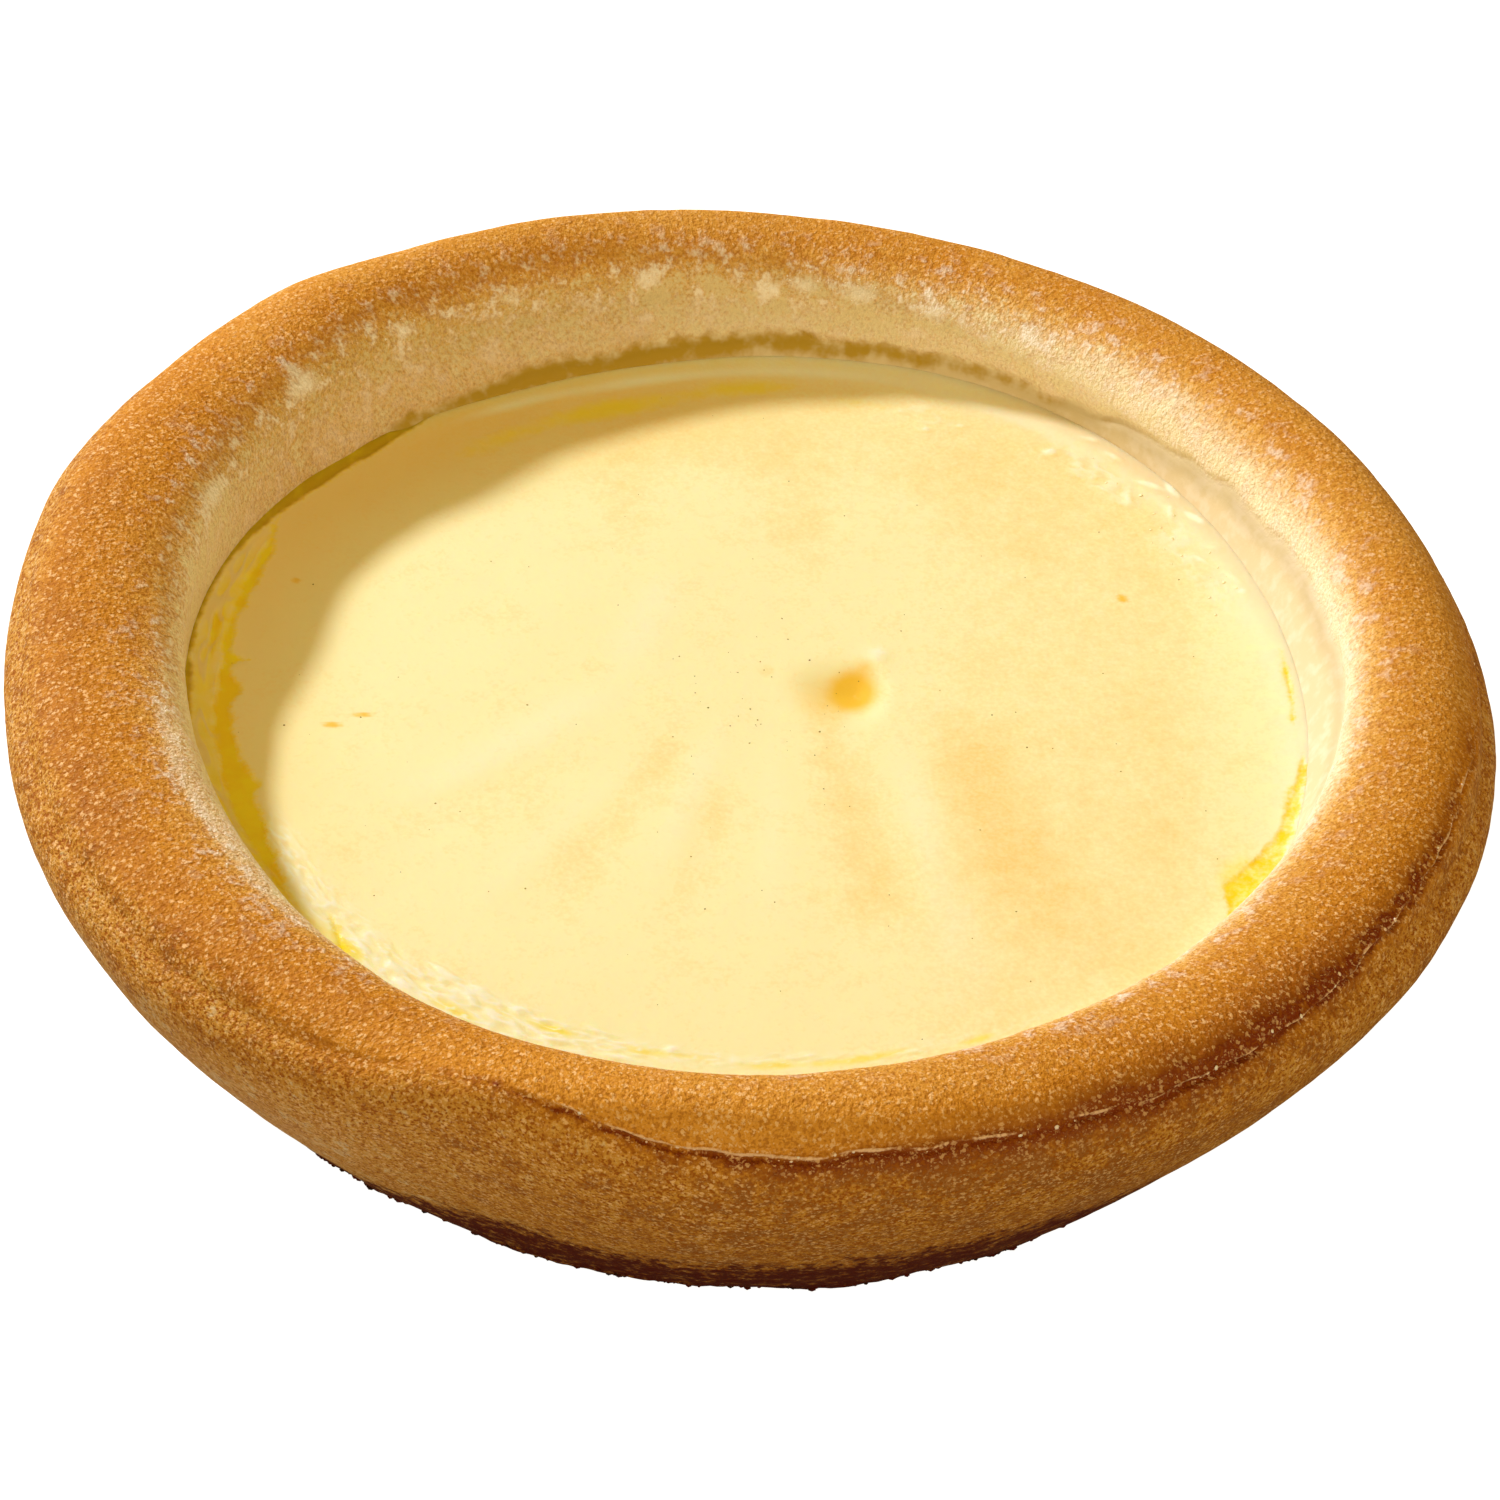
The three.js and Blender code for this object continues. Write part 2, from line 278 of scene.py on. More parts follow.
# Soft folds in the skin: from x, y to x, y, half width at both ends, amount (below 0 a pale ridge)
# Their shading is painted: peach shade in the valleys and pale light on the ridges
FOLDS = (
    (5.5, -1, 11, -23, 2, 3.2, 0.7), (15, 2, 23, -24, 3, 3.8, 0.6), (-4, -3, -14, -25, 1.4, 2.4, 0.4),
    (-12, -8, -29, -19, 1.6, 2.4, 0.35), (-1, -7, -5, -30, 1.3, 2, 0.35), (-9, 14, -13, 32, 2, 3, 0.3),
    (3, 13, 2, 34, 2.5, 3.5, 0.35), (-7, 14, -10, 2, 1.6, 1.6, -0.4), (-10, 1, -26, -16, 1.7, 1.9, -0.4),
    (-2.5, -2, -5.5, -20, 1.3, 1.7, -0.35), (11.5, -3, 17, -29, 1.5, 2.2, -0.4),
    (2, -5, 3, -24, 1.2, 1.6, -0.2), (-7, -6, -20, -26, 1.1, 1.5, -0.2),
)
FOLD_DEPTH = 0.1
FOLD_START = (-0.15, 0.3)
FOLD_END = (0.65, 1.15)

# Where the skin is torn open: inset of the outer side, inset of the inner side
MOAT = {
    156: (0.9, 0.9), 161: (1.9, 2.6), 167: (2.2, 3.2), 174: (2.3, 3), 181: (2.7, 3.3), 188: (2.1, 3.4),
    196: (1.9, 3.7), 205: (1.6, 3.6), 212: (1.5, 3), 219: (1.7, 1.7),
}
UPPER_TEAR = {170: (1.5, 1.5), 174: (1.2, 2), 178: (1.4, 1.9), 180: (1.8, 1.8)}
SLIT = {222.5: (3.4, 3.4), 224.5: (2.6, 3.3), 226.5: (1.9, 2.6), 228.5: (1.9, 1.9)}
RIGHT_TEAR = {
    -27: (1.3, 2.1), -24: (0.7, 3.5), -20: (0.4, 2.7), -15: (0.2, 1.5), -11: (0.1, 1.2), -7: (0.1, 1),
    -3: (0.4, 0.4),
}
THIN_TEAR = {3: (0.95, 0.95), 6: (0.75, 0.95), 10: (0.65, 0.8), 14: (0.6, 0.6)}
RIGHT_TEAR_DEEPEST = 0.17
TEAR_TAPER = 0.4

# Spikes of the moat: angle, length, spread
MOAT_SPIKES = ((180, 1.2, 0.7), (185, 1.1, 1.6), (200.5, 0.8, 1.3))

# Gap between custard and wall: inset
WALL_GAP = {
    128: -0.6, 136: 0.5, 142: 1.1, 149: 1.2, 155: 0.9, 160: 0.6, 166: 0.35, 180: 0.3, 182: 0.65, 188: 0.6,
    191: 0.2, 230: 0.1, 250: -0.6,
}
GAP_SPAN = (-0.4, 0.4)

# Depth of wide and narrow tears, their spans, and how ragged their edges are
TEAR_DEPTH = 0.14
TEAR_SPAN = (-0.08, 0.32)
SLIT_DEPTH = 0.16
SLIT_SPAN = (-0.08, 0.3)
RAGGED = Values(coarse=0.28, fine=0.4, upper=0.7, slits=0.5, right=1.8, gap=0.6)

# Patches on the skin, amber, pale, streaky, wrinkled, beaded: angle, inset, half angle, half inset, amount
# The amber patches at the back are partly painted shade at the edge of the rim's shadow
STAINS_AND_SHADE = (
    (94, 3.2, 9, 1.5, 0.8), (112, 4, 13, 1.5, 1), (128, 4.6, 8, 1.6, 0.6), (80, 4.4, 6, 1, 0.4),
    (-22, 3.2, 6, 1.4, 0.6), (170, 1.6, 14, 1.8, 0.75), (190, 1.4, 16, 1.6, 0.8), (208, 1.3, 12, 1.3, 0.8),
    (222, 1.2, 12, 1.6, 0.7), (240, 0.8, 12, 1.2, 0.4), (227, 2.6, 4, 0.8, 0.7), (230.5, 4.4, 4, 0.9, 0.4),
    (241, 3.2, 4.5, 0.8, 0.7), (245.5, 5, 3.5, 0.9, 0.45), (251.7, 5.1, 4, 0.55, 0.9),
    (254, 6.2, 4, 0.5, 0.35), (261, 5, 4, 0.6, 0.6), (266, 5.1, 4, 0.6, 0.5), (275, 4.6, 6, 0.6, 0.6),
    (283, 4.5, 6, 0.6, 0.6), (288, 4.7, 4, 0.6, 0.45), (298, 4.1, 4, 0.5, 0.6),
)
PALE_EDGE = (
    (62, 1.8, 14, 0.7, 0.6), (86, 1.4, 14, 0.7, 0.9), (106, 1.4, 12, 0.7, 0.9), (122, 1.2, 8, 0.6, 0.7),
)
STREAKS = ((168, 1.3, 12, 1.5, 1), (186, 1.3, 14, 1.5, 1), (204, 1, 12, 1.2, 0.9), (218, 1.4, 10, 1.2, 0.8))
# The wrinkled and beaded patches get painted highlights on their ridges and froth
WRINKLES = (
    (212, 3.8, 9, 1.7, 1), (224, 3.6, 10, 2.2, 1), (236, 3.4, 12, 2.3, 1), (250, 3.1, 10, 2, 0.9),
    (262, 2.6, 9, 1.6, 0.8), (244, 4.8, 9, 1.8, 1), (253, 5.1, 9, 1.5, 0.9), (264, 5.1, 9, 1.1, 0.8),
    (276, 4.9, 9, 1, 0.7), (290, 4.7, 9, 0.9, 0.55), (302, 4.2, 8, 0.8, 0.4),
)
BEADS = ((40, 3, 15, 2.2, 1), (53, 3.4, 7, 1.8, 0.9), (70, 4.2, 6, 1.4, 0.6), (27, 2.8, 8, 2, 0.7))

# Painted shade, partly deeper custard, near the edge where the rim's shadow falls: amount, and the insets
# over which it fades
SHADE_EDGE = {70: 0, 100: 0.8, 135: 1, 165: 0.85, 180: 0.7, 205: 0.35, 225: 0}
SHADE_SPAN = (2.0, 15.0)

# Warmer skin to the right and at the back: spans in x and y, and amounts
PEACH = Values(
    right=(4.0, 24.0), right_end=(31.0, 38.0), back=(16.0, 34.0), right_share=0.5, end_share=0.8,
    back_share=0.35,
)

# Orange flecks, and white glints painted as highlights on the skin: x, y, half length, half width, turn,
# amount
FLECKS = (
    (-30.9, -6.4, 0.6, 0.4, 20, 0.9), (-29, -5.1, 1, 0.34, 10, 0.9), (28.1, 15.2, 1, 0.36, -35, 0.9),
    (-35.7, 9.4, 0.5, 0.45, 0, 0.7), (0.9, 3.9, 0.9, 1, 0, 0.35),
)
GLINTS = (
    (25.5, 33.8, 1.1, 0.3, -20, 0.7), (27.4, 31.9, 1.1, 0.35, -40, 0.9), (26.6, 28.2, 0.9, 0.25, -30, 0.6),
    (28.6, 27.1, 0.35, 0.8, 0, 0.8), (30.3, 28.7, 1.4, 0.4, -30, 0.9), (32.1, 27.9, 1.1, 0.35, -60, 0.9),
    (31.9, 25.6, 0.35, 1.1, 0, 0.9), (33.8, 24.9, 1.3, 0.35, -45, 0.9), (35.1, 21.6, 0.8, 0.35, 0, 0.6),
    (34.3, 20.2, 1.1, 0.3, -40, 0.7), (37.7, 21.8, 0.9, 0.35, -50, 0.6), (36.9, 17.9, 1.1, 0.3, -50, 0.6),
    (37.4, 16.6, 0.4, 0.4, 0, 0.8), (22.4, 32.4, 0.6, 0.5, 20, 1), (15, 34.9, 0.5, 0.35, 0, 0.8),
    (12.2, 34.2, 0.45, 0.35, 30, 0.8), (10.1, 36.2, 0.4, 0.3, 0, 0.6), (-25.8, -28.9, 0.9, 0.3, -45, 0.8),
    (-23.6, -30.6, 1, 0.35, -40, 0.9), (-22.5, -32.2, 0.9, 0.3, -40, 0.9),
    (-19.8, -30.8, 1.6, 0.3, -35, 0.9), (-17.7, -33.3, 0.9, 0.35, -60, 0.8),
    (-16.9, -32.4, 1.3, 0.3, -35, 0.9), (-14.3, -33.9, 0.6, 0.5, 0, 0.9),
    (-11.9, -36.3, 0.9, 0.3, -10, 0.8), (-8.9, -35.1, 1.1, 0.3, -25, 0.8),
    (-7.4, -37.4, 1.2, 0.3, -10, 0.8), (-3.6, -36.3, 0.4, 0.35, 0, 0.8), (-0.3, -37.3, 0.5, 0.3, 0, 0.7),
    (1.1, -36.9, 0.35, 0.4, 0, 0.7), (5.8, -35.9, 0.5, 0.3, 10, 0.6), (13, -34.6, 0.8, 0.3, 25, 0.6),
)
FLECK_EDGE = (0.1, 1.5)

# Noise in the skin: size and seed
SKIN_NOISE = Values(
    fray=(1.6, 5), fine_fray=(0.6, 6), ridges=(0.55, 8), fine_ridges=(0.3, 9), swells=(6.0, 11),
    froth=(1.3, 13), fine_froth=(0.45, 14), froth_gate=(2.4, 15), streaks=(0.75, 21),
)
SEED_SHIFT = 17.31

# Ridges in that noise: steepness, share of the finer noise, spans, and radii of the frames they lie in
FROTH_STEEP = 3.5
RIDGE_STEEP = 3.2
FINE_SHARE = 0.5
FROTH_SPAN = (0.1, 0.55)
FROTH_GATE = (-0.25, 0.1)
STREAK_SPAN = (-0.1, 0.75)
RIDGE_TOP = (0.45, 1.0)
WAVY_RADIUS = RADIUS / 3.5
DRAWN_RADIUS = RADIUS / 6.0

# Height of the small forms in the skin, and how much painted highlight the froth and wrinkles get
RAISED = Values(wrinkles=0.07, streaks=0.1, froth=0.06, glints=0.14, swells=0.05)
HIGHLIGHT = Values(froth=0.8, wrinkles=0.9)

# Mesh of the custard
CUSTARD_COLUMNS = 720
EDGE_ROWS = 62
EDGE_ZONE = 7.0
OPEN_ROWS = 30
DIMPLE_ROWS = 34
DIMPLE_ZONE = 7.5

# Noises of the materials: name and size, from slow patches to fine grain
DOUGH_NOISE = {"patch": 11.0, "mottles": 1.1, "grain": 0.3}
CRUST_NOISE = {"clusters": 2.6, "blots": 0.33, "dots": 0.17}
CUSTARD_NOISE = {"patch": 9.0, "mottles": 1.6, "grain": 0.35}
LOOSE_NOISE = {"patch": 6.0, "mottles": 1.2, "grain": 0.25}

# Blotches of the crust: their noises, and how strong they are under each mask
BLOTCH_NOISE = {"mottles": 1.0, "grain": 0.8, "clusters": 1.1}
BLOTCH_LEAST = 0.08
BLOTCHES = {"froth": 0.25, "wall": 0.45, "inner": 0.08, "scorch": 0.3, "olive": 0.25}

# Browning at which the crust has each colour
CRUST_STOPS = {"dough": 0.02, "gold": 0.36, "brown": 0.62, "scorched_and_shaded": 0.95}

# Browning by scorching with painted shade beside the torn line, and by slow patches
BROWNING = Values(scorch=0.25, patch={"patch": 0.09})

# Specks of the crust, partly pale blisters and partly painted glints: how they grow with its browning, their
# noises, pits and their depth, fine specks, and how pale they are at most, on the wall and in the painted
# shade near the torn line
SPECKS = Values(
    brown=(0.0, 0.4), strength=(0.3, 1.0), fray={"clusters": 0.08, "dots": 0.35}, frost=0.05,
    pit=(0.5, 0.34), depth=0.53, wall_depth=0.52, fine=(0.58, 0.77), most=0.75,
    pale=0.95, wall_pale=-0.1, dusk_pale=-0.8,
)
BLISTER_AND_GLINT = Values(
    spacing=0.48, fray={"dots": -0.5}, edge=(0.42, 0.18), cells=(0.25, 0.75), strength=(0.1, 0.75),
)

# Clouds from the mottling: noises that fray them, span, most cover
FOAM = ({"blots": 0.3, "clusters": 0.3}, (0.5, 0.8), 0.85)
HAZE = ({"clusters": 0.5}, (0.3, 0.85), 0.5)
FILM_CLOUD = ({"clusters": 0.4}, (0.4, 0.75), 0.3)
YOLK_CLOUD = ({"patch": 0.6}, (0.35, 0.7), 1.0)

# Warmth of the custard's skin: share of its mask, slow patches, noises, and how far all are lowered
WARM = Values(
    mask=0.8, span=(0.4, 0.75), patch=(0.0, 0.25), fray={"mottles": 0.4, "grain": 0.5}, lowered=-0.12,
)

# Spans over which the veil of dried custard and the loose grains change colour
VEIL_SPAN = (0.6, 1.0)
LOOSE_SPAN = (0.35, 0.65)

# Cover of the coats that follow their mask alone
COVER = {"olive": 0.75, "ember": 0.9, "wall": 0.45, "film": 0.92, "crease": 1.0, "deep": 0.72, "pale": 0.8}

# Gloss: roughness, what the mask or cover changes, and noises. Bumps: shares of the noises, and height
DOUGH_GLOSS = Values(roughness=0.75, crust=-0.15, fray={"mottles": 0.1})
CUSTARD_GLOSS = Values(roughness=0.5, moist=-0.25, bare=-0.12, fray={"mottles": 0.06})
LOOSE_GLOSS = {"grain": 0.08}
DOUGH_BUMPS = {"blots": 1.0, "mottles": 0.6}
CUSTARD_BUMPS = {"mottles": 0.5, "grain": 0.5}
BUMP_HEIGHT = Values(dough=0.24, custard=0.06, custard_share=0.7, loose=0.03)

# Coats with frayed edges, in order: colour, mask, noises that fray it, span, most cover, and the mask
# from which it frays in full, or 0 where it frays all over
DOUGH_COATS = (
    ("amber", "amber", {"mottles": 0.6, "clusters": 0.8}, (0.05, 0.95), 0.92, 0.3),
    ("burnt", "char", {"mottles": 0.8, "blots": 0.8}, (0.2, 0.8), 1.0, 0.3),
    ("torn", "torn", {"grain": 0.4, "mottles": 0.4}, (0.35, 0.8), 1.0, 0.2),
    ("flour", "flour", {"mottles": 0.45, "blots": 0.3}, (0.12, 1.05), 0.9, 0.25),
)
CUSTARD_COATS = (
    ("veil", "film", {"mottles": 0.5}, (0.05, 0.95), 0.85, 0.3),
    # Amber patches, partly painted shade at the edge of the rim's shadow
    ("inside", "stain", {"mottles": 0.35}, (0.1, 1.0), 0.8, 0.0),
    # Painted shade and an orange stain in the dimple
    ("stain", "hollow", {"mottles": 0.1}, (0.0, 1.0), 0.95, 0.0),
    ("stain", "fleck", {"grain": 0.15}, (0.1, 0.8), 0.85, 0.0),
    ("cream_and_highlight", "glint", {"mottles": 0.7}, (0.2, 1.0), 0.85, 0.0),
    ("yolk", "bare", {"grain": 0.3, "mottles": 0.4}, (-0.35, 0.4), 1.0, 0.0),
    ("edge", "streak", {"mottles": 0.3}, (0.2, 1.0), 0.6, 0.0),
    # Amber, partly painted shade in the gap between custard and wall
    ("amber", "gap", {"mottles": 0.8}, (0.1, 1.1), 0.8, 0.3),
)

# Loose grains: piece, ground, mask, grains per square millimetre, size and its share, flatness,
# material, its two colours and its roughness
GRAINS = (
    ("flour_dust", "dough_crust", "flour", 5.0, "flour_grain", 0.8, 0.6, "flour", "flour", "shade", 0.9),
    ("seam_flakes", "dough_crust", "crumbs", 2.4, "crumb", 0.6, 0.35, "crust_flakes", "flour", "torn", 0.6),
    ("foot_crumbs", "dough_crust", "foot", 0.8, "crumb", 1.0, 0.8, "burnt_crumbs", "burnt", "charcoal", 0.8),
    ("vanilla_specks", "custard", "specks", 0.3, "speck", 0.9, 0.35, "vanilla", "vanilla", "seed", 0.6),
    ("moist_beads", "custard", "beads", 0.35, "speck", 1.8, 0.25, "moist_custard", "moist", "skin", 0.25),
)
GRAIN_SEED = 21
SMALLEST_SHARE = 0.35
LEAST_STRETCH = (0.7, 0.7, 0.7)
MOST_STRETCH = (1.3, 1.3, 1.0)
SLOTS = {"dough_crust": "baked_dough", "custard": "custard"}

# Camera, aimed at a point on the floor, with the angle of the photograph
CAMERA = Values(elevation=43.0, roll=4.65, distance=341.0, aim=(0.13, 13.2, 0.0), lens=101.94, sensor=36.0)

# Lights: azimuth, elevation, distance and size in metres
KEY = Values(azimuth=144.0, elevation=31.0, distance=0.9, size=0.08)
FRONT = Values(azimuth=-75.0, elevation=28.0, distance=0.9, size=0.5)
FLOOR_SIZE = 6.0
FLOOR_GREY = 0.5


def size_property(name, description, default):
    """A length that the user can change, given in millimetres."""
    return bpy.props.FloatProperty(
        name=name, description=description, default=default * MM, min=0.0, unit="LENGTH", precision=5
    )


def light_property(name, description, default):
    """A strength of light that the user can change."""
    return bpy.props.FloatProperty(name=name, description=description, default=default, min=0.0)


def tint_property(name, description, default):
    """A colour that the user can change."""
    return bpy.props.FloatVectorProperty(
        name=name, description=description, default=default, size=3, min=0.0, max=1.0, subtype="COLOR"
    )


def colour_property(name, description, *screen):
    """A colour that the user can change, given as a screen colour from 0 to 255."""
    share = np.array(screen) / 255.0
    linear = np.where(share <= 0.04045, share / 12.92, ((share + 0.055) / 1.055) ** 2.4)
    return tint_property(name, description, tuple(float(value) for value in linear))


class VlaaiSizes(bpy.types.PropertyGroup):
    """Sizes of the tart and of the unevenness of its dough."""

    radius: size_property("Radius", "Mean outer radius of the rim", RADIUS)
    crest_height: size_property("Crest Height", "Mean height of the rim's crest", CREST_HEIGHT)
    fill_height: size_property("Fill Height", "Height of the custard's skin", FILL_HEIGHT)
    lump_size: size_property("Lump Size", "Spacing of the slow swells in the dough", 9.0)
    lump_height: size_property("Lump Height", "Height of the slow swells in the dough", 0.35)
    pore_size: size_property("Pore Size", "Spacing of the small bumps in the crust", 1.7)
    pore_height: size_property("Pore Height", "Height of the small bumps in the crust", 0.13)
    flour_grain: size_property("Flour Grain", "Largest radius of a grain of flour", 0.12)
    crumb: size_property("Crumb", "Largest radius of a crumb", 0.3)
    speck: size_property("Speck", "Largest radius of a vanilla speck", 0.09)


class VlaaiColours(bpy.types.PropertyGroup):
    """Colours of the dough and the custard."""

    dough: colour_property("Pale Dough", "Dough that hasn't browned", 250, 239, 208)
    gold: colour_property("Gold", "Lightly browned crust", 224, 170, 80)
    # Painted light: brighter crust above the torn line at the front, where the rim turns from the key light
    ember: colour_property("Bright Crust", "Brighter crust above the torn line", 233, 164, 60)
    # Painted shade, partly a duller tone, on the back of the inner side, which faces away from the key light
    olive: colour_property("Dull Dough", "Duller dough at the back of the inner side", 197, 166, 72)
    brown: colour_property("Brown", "Well browned crust", 204, 135, 34)
    # Darkest crust, reached by scorching, by browning and by the painted shade near the torn line
    scorched_and_shaded: colour_property("Scorched", "Crust beside the torn line", 126, 48, 10)
    burnt: colour_property("Burnt", "Burnt foot of the case", 88, 18, 8)
    charcoal: colour_property("Charcoal", "Darkest crumbs at the foot", 40, 18, 10)
    wall: colour_property("Wall Crust", "Duller crust of the wall", 190, 138, 58)
    pit: colour_property("Pit", "Fine dark pits in the crust", 160, 90, 8)
    # Partly pale blisters, partly painted glints
    blister: colour_property("Blister", "Fine pale blisters in the crust", 251, 209, 154)
    film: colour_property("Film", "Custard dried on the inner wall", 223, 207, 168)
    edge: colour_property("Custard Edge", "Custard where it climbs the wall", 228, 208, 172)
    # Partly syrupy custard, partly painted shade where the custard meets the wall and in the gap beside it
    amber: colour_property("Amber", "Syrupy edge of the film", 184, 148, 8)
    # Painted shade in the crease above the film
    crease: colour_property("Crease", "Dull crease above the film", 176, 154, 110)
    torn: colour_property("Torn Edge", "Torn edge of the crust", 246, 206, 168)
    flour: colour_property("Flour", "Flour left on the rim", 255, 248, 240)
    shade: colour_property("Shaded Flour", "Darker grains of flour", 236, 214, 176)
    skin: colour_property("Custard Skin", "Skin of the custard", 254, 244, 199)
    # Warmer skin, with painted shade in the valleys of the folds
    peach: colour_property("Peach", "Warmer hollows of the skin", 252, 218, 148)
    # Painted shade, partly deeper custard, where the rim's shadow falls near the edge
    deep: colour_property("Deep Custard", "Skin near the shaded edge", 246, 208, 112)
    # Pale edges, painted light on the fold ridges, and painted highlights on glints, the knob and the
    # wrinkles
    cream_and_highlight: colour_property("Cream", "Pale ridges and moist wrinkles of the skin", 255, 253, 232)
    moist: colour_property("Moist Bead", "Beads of moisture on the skin", 255, 246, 200)
    inside: colour_property("Custard Inside", "Custard under the torn skin", 255, 228, 28)
    syrup: colour_property("Syrup", "Darker spots of the custard under the torn skin", 252, 216, 20)
    # Orange flecks, and the dimple's orange stain with its painted shade
    stain: colour_property("Stain", "Orange flecks and the dimple", 243, 196, 40)
    vanilla: colour_property("Vanilla", "Vanilla specks", 122, 98, 30)
    seed: colour_property("Vanilla Seed", "Paler vanilla specks", 176, 146, 60)


class VlaaiStage(bpy.types.PropertyGroup):
    """Light around the tart."""

    key_power: light_property("Key Power", "Power of the key light in watts", 8.5)
    front_power: light_property("Front Power", "Power of the weak light at the front in watts", 2.0)
    front_colour: tint_property("Front Colour", "Colour of the weak light at the front", (1.0, 0.9, 0.68))
    fill_strength: light_property("Fill Strength", "Strength of the light from all round", 0.46)
    fill_colour: tint_property("Fill Colour", "Colour of the light from all round", (1.0, 0.7, 0.22))
    floor_glow: light_property("Floor Glow", "Light that the floor gives off", 0.95)


def grow(value, span):
    """0 below a span, 1 above it, smooth between."""
    low, high = span
    share = np.clip((value - low) / (high - low), 0.0, 1.0)
    return share * share * (3.0 - 2.0 * share)


def fade(value, span):
    """1 below a span, 0 above it, smooth between."""
    return 1.0 - grow(value, span)


def unit(value):
    """Values kept from 0 to 1."""
    return np.clip(value, 0.0, 1.0)


def bell(distance, spread):
    """1 at no distance, falling off as a bell curve."""
    return np.exp(-((distance / spread) ** 2))


def band(value, place):
    """1 on a band, falling off as a bell curve."""
    middle, spread = place
    return bell(value - middle, spread)


def spot(x, y, s):
    """1 on a round spot, falling off as a bell curve."""
    return bell(np.hypot(x - s.x, y - s.y), s.spread)


def oval(across, up, half_across, half_up, turn=0.0):
    """Distance from the middle of an oval that can be turned, 1 at its edge."""
    tilt = math.radians(turn)
    u = across * math.cos(tilt) + up * math.sin(tilt)
    v = up * math.cos(tilt) - across * math.sin(tilt)
    return np.hypot(u / half_across, v / half_up)


def between(angle, other):
    """Degrees from one angle to another, from -180 to 180."""
    return (angle - other + 180.0) % 360.0 - 180.0


def waves(terms, angle):
    """Sum of waves around the tart."""
    return sum(amount * np.cos(np.radians(count * (angle - high))) for count, amount, high in terms)


def bells(terms, angle):
    """Sum of swells around the tart."""
    return sum(amount * bell(between(angle, at), spread) for at, amount, spread in terms)


def columns(points, column):
    """Angles of a table, and the values in one of its columns."""
    values = np.array(list(points.values()), float).reshape(len(points), -1)
    return np.array(list(points), float), values[:, column]


def around(points, angle, column=0):
    """Value at an angle, from a table that goes all the way round."""
    return np.interp(angle, *columns(points, column), period=360.0)


def along(points, angle, column=0):
    """Value at an angle, from a table that spans a part of the turn, and its end values beyond."""
    angles, values = columns(points, column)
    middle = (angles[0] + angles[-1]) / 2.0
    return np.interp(between(angle, middle), angles - middle, values)


def ripple(angle, shape):
    """Ragged wave around the tart, from waves between two counts per turn."""
    amount, lowest, highest, seed = shape
    draw = np.random.default_rng(seed)
    counts = draw.integers(lowest, highest, RAGGED_WAVES)
    turns = draw.uniform(0.0, 2.0 * np.pi, RAGGED_WAVES)
    turn = np.asarray(angle)[..., None] * np.pi / 180.0
    return amount * (np.cos(turn * counts + turns).sum(-1) / np.sqrt(RAGGED_WAVES))


def rough(points, grain):
    """Smooth noise from -1 to 1 at points, with bumps of about the grain's size."""
    size, seed = grain
    flat = points.reshape(-1, 3) / size + seed * SEED_SHIFT
    values = np.fromiter((noise.noise(place) for place in flat.tolist()), float, len(flat))
    return values.reshape(points.shape[:-1])


def ridged(points, steepness, grain):
    """Noise with sharp ridges of 1 where it passes through 0."""
    return 1.0 - steepness * np.abs(rough(points, grain))


def patches(spots, angle, across):
    """Sum of soft patches given as angle, place across, half angle, half width and amount."""
    result = np.zeros(np.broadcast(angle, across).shape)
    for at, place, half_angle, half_width, amount in spots:
        off = np.hypot(between(angle, at) / half_angle, (across - place) / half_width)
        result += amount * fade(off, PATCH_EDGE)
    return unit(result)


def polar(angle, radius, height):
    """Points at radii and heights in the directions of angles."""
    turn = np.radians(angle)
    place = np.broadcast_arrays(radius * np.cos(turn), radius * np.sin(turn), height)
    return np.stack(place, axis=-1)


def case_section(angle, sizes):
    """Radii and heights of the case at angles."""
    radius = sizes.radius / MM
    swell = (radius + waves(OUTLINE_WAVES, angle)) / radius
    crest = sizes.crest_height / MM + waves(CREST_WAVES, angle) + bells(CREST_SWELLS, angle)
    seam_height = crest - SEAM_DROP + waves(SEAM_WAVES, angle) + bells(SEAM_KINKS, angle)
    return Values(
        base=(radius - BASE_IN) * swell,
        seam=(radius - SEAM_IN + waves(SEAM_RADIUS_WAVES, angle)) * swell,
        seam_height=seam_height,
        crest=radius - CREST_IN,
        rise=crest - seam_height,
        mouth=radius - MOUTH_IN + waves(MOUTH_WAVES, angle),
        mouth_height=crest - MOUTH_DROP,
        fill_edge=radius - FILL_EDGE_IN + waves(FILL_EDGE_WAVES, angle),
        fill_height=sizes.fill_height / MM,
        floor=radius - FLOOR_IN,
    )


def steps(start, end, count):
    """Even steps from start to end, one to a row."""
    return np.linspace(start, end, count)[:, None]


def weighed(weights, values):
    """Sum of values by their weights."""
    return sum(weight * value for weight, value in zip(weights, values))


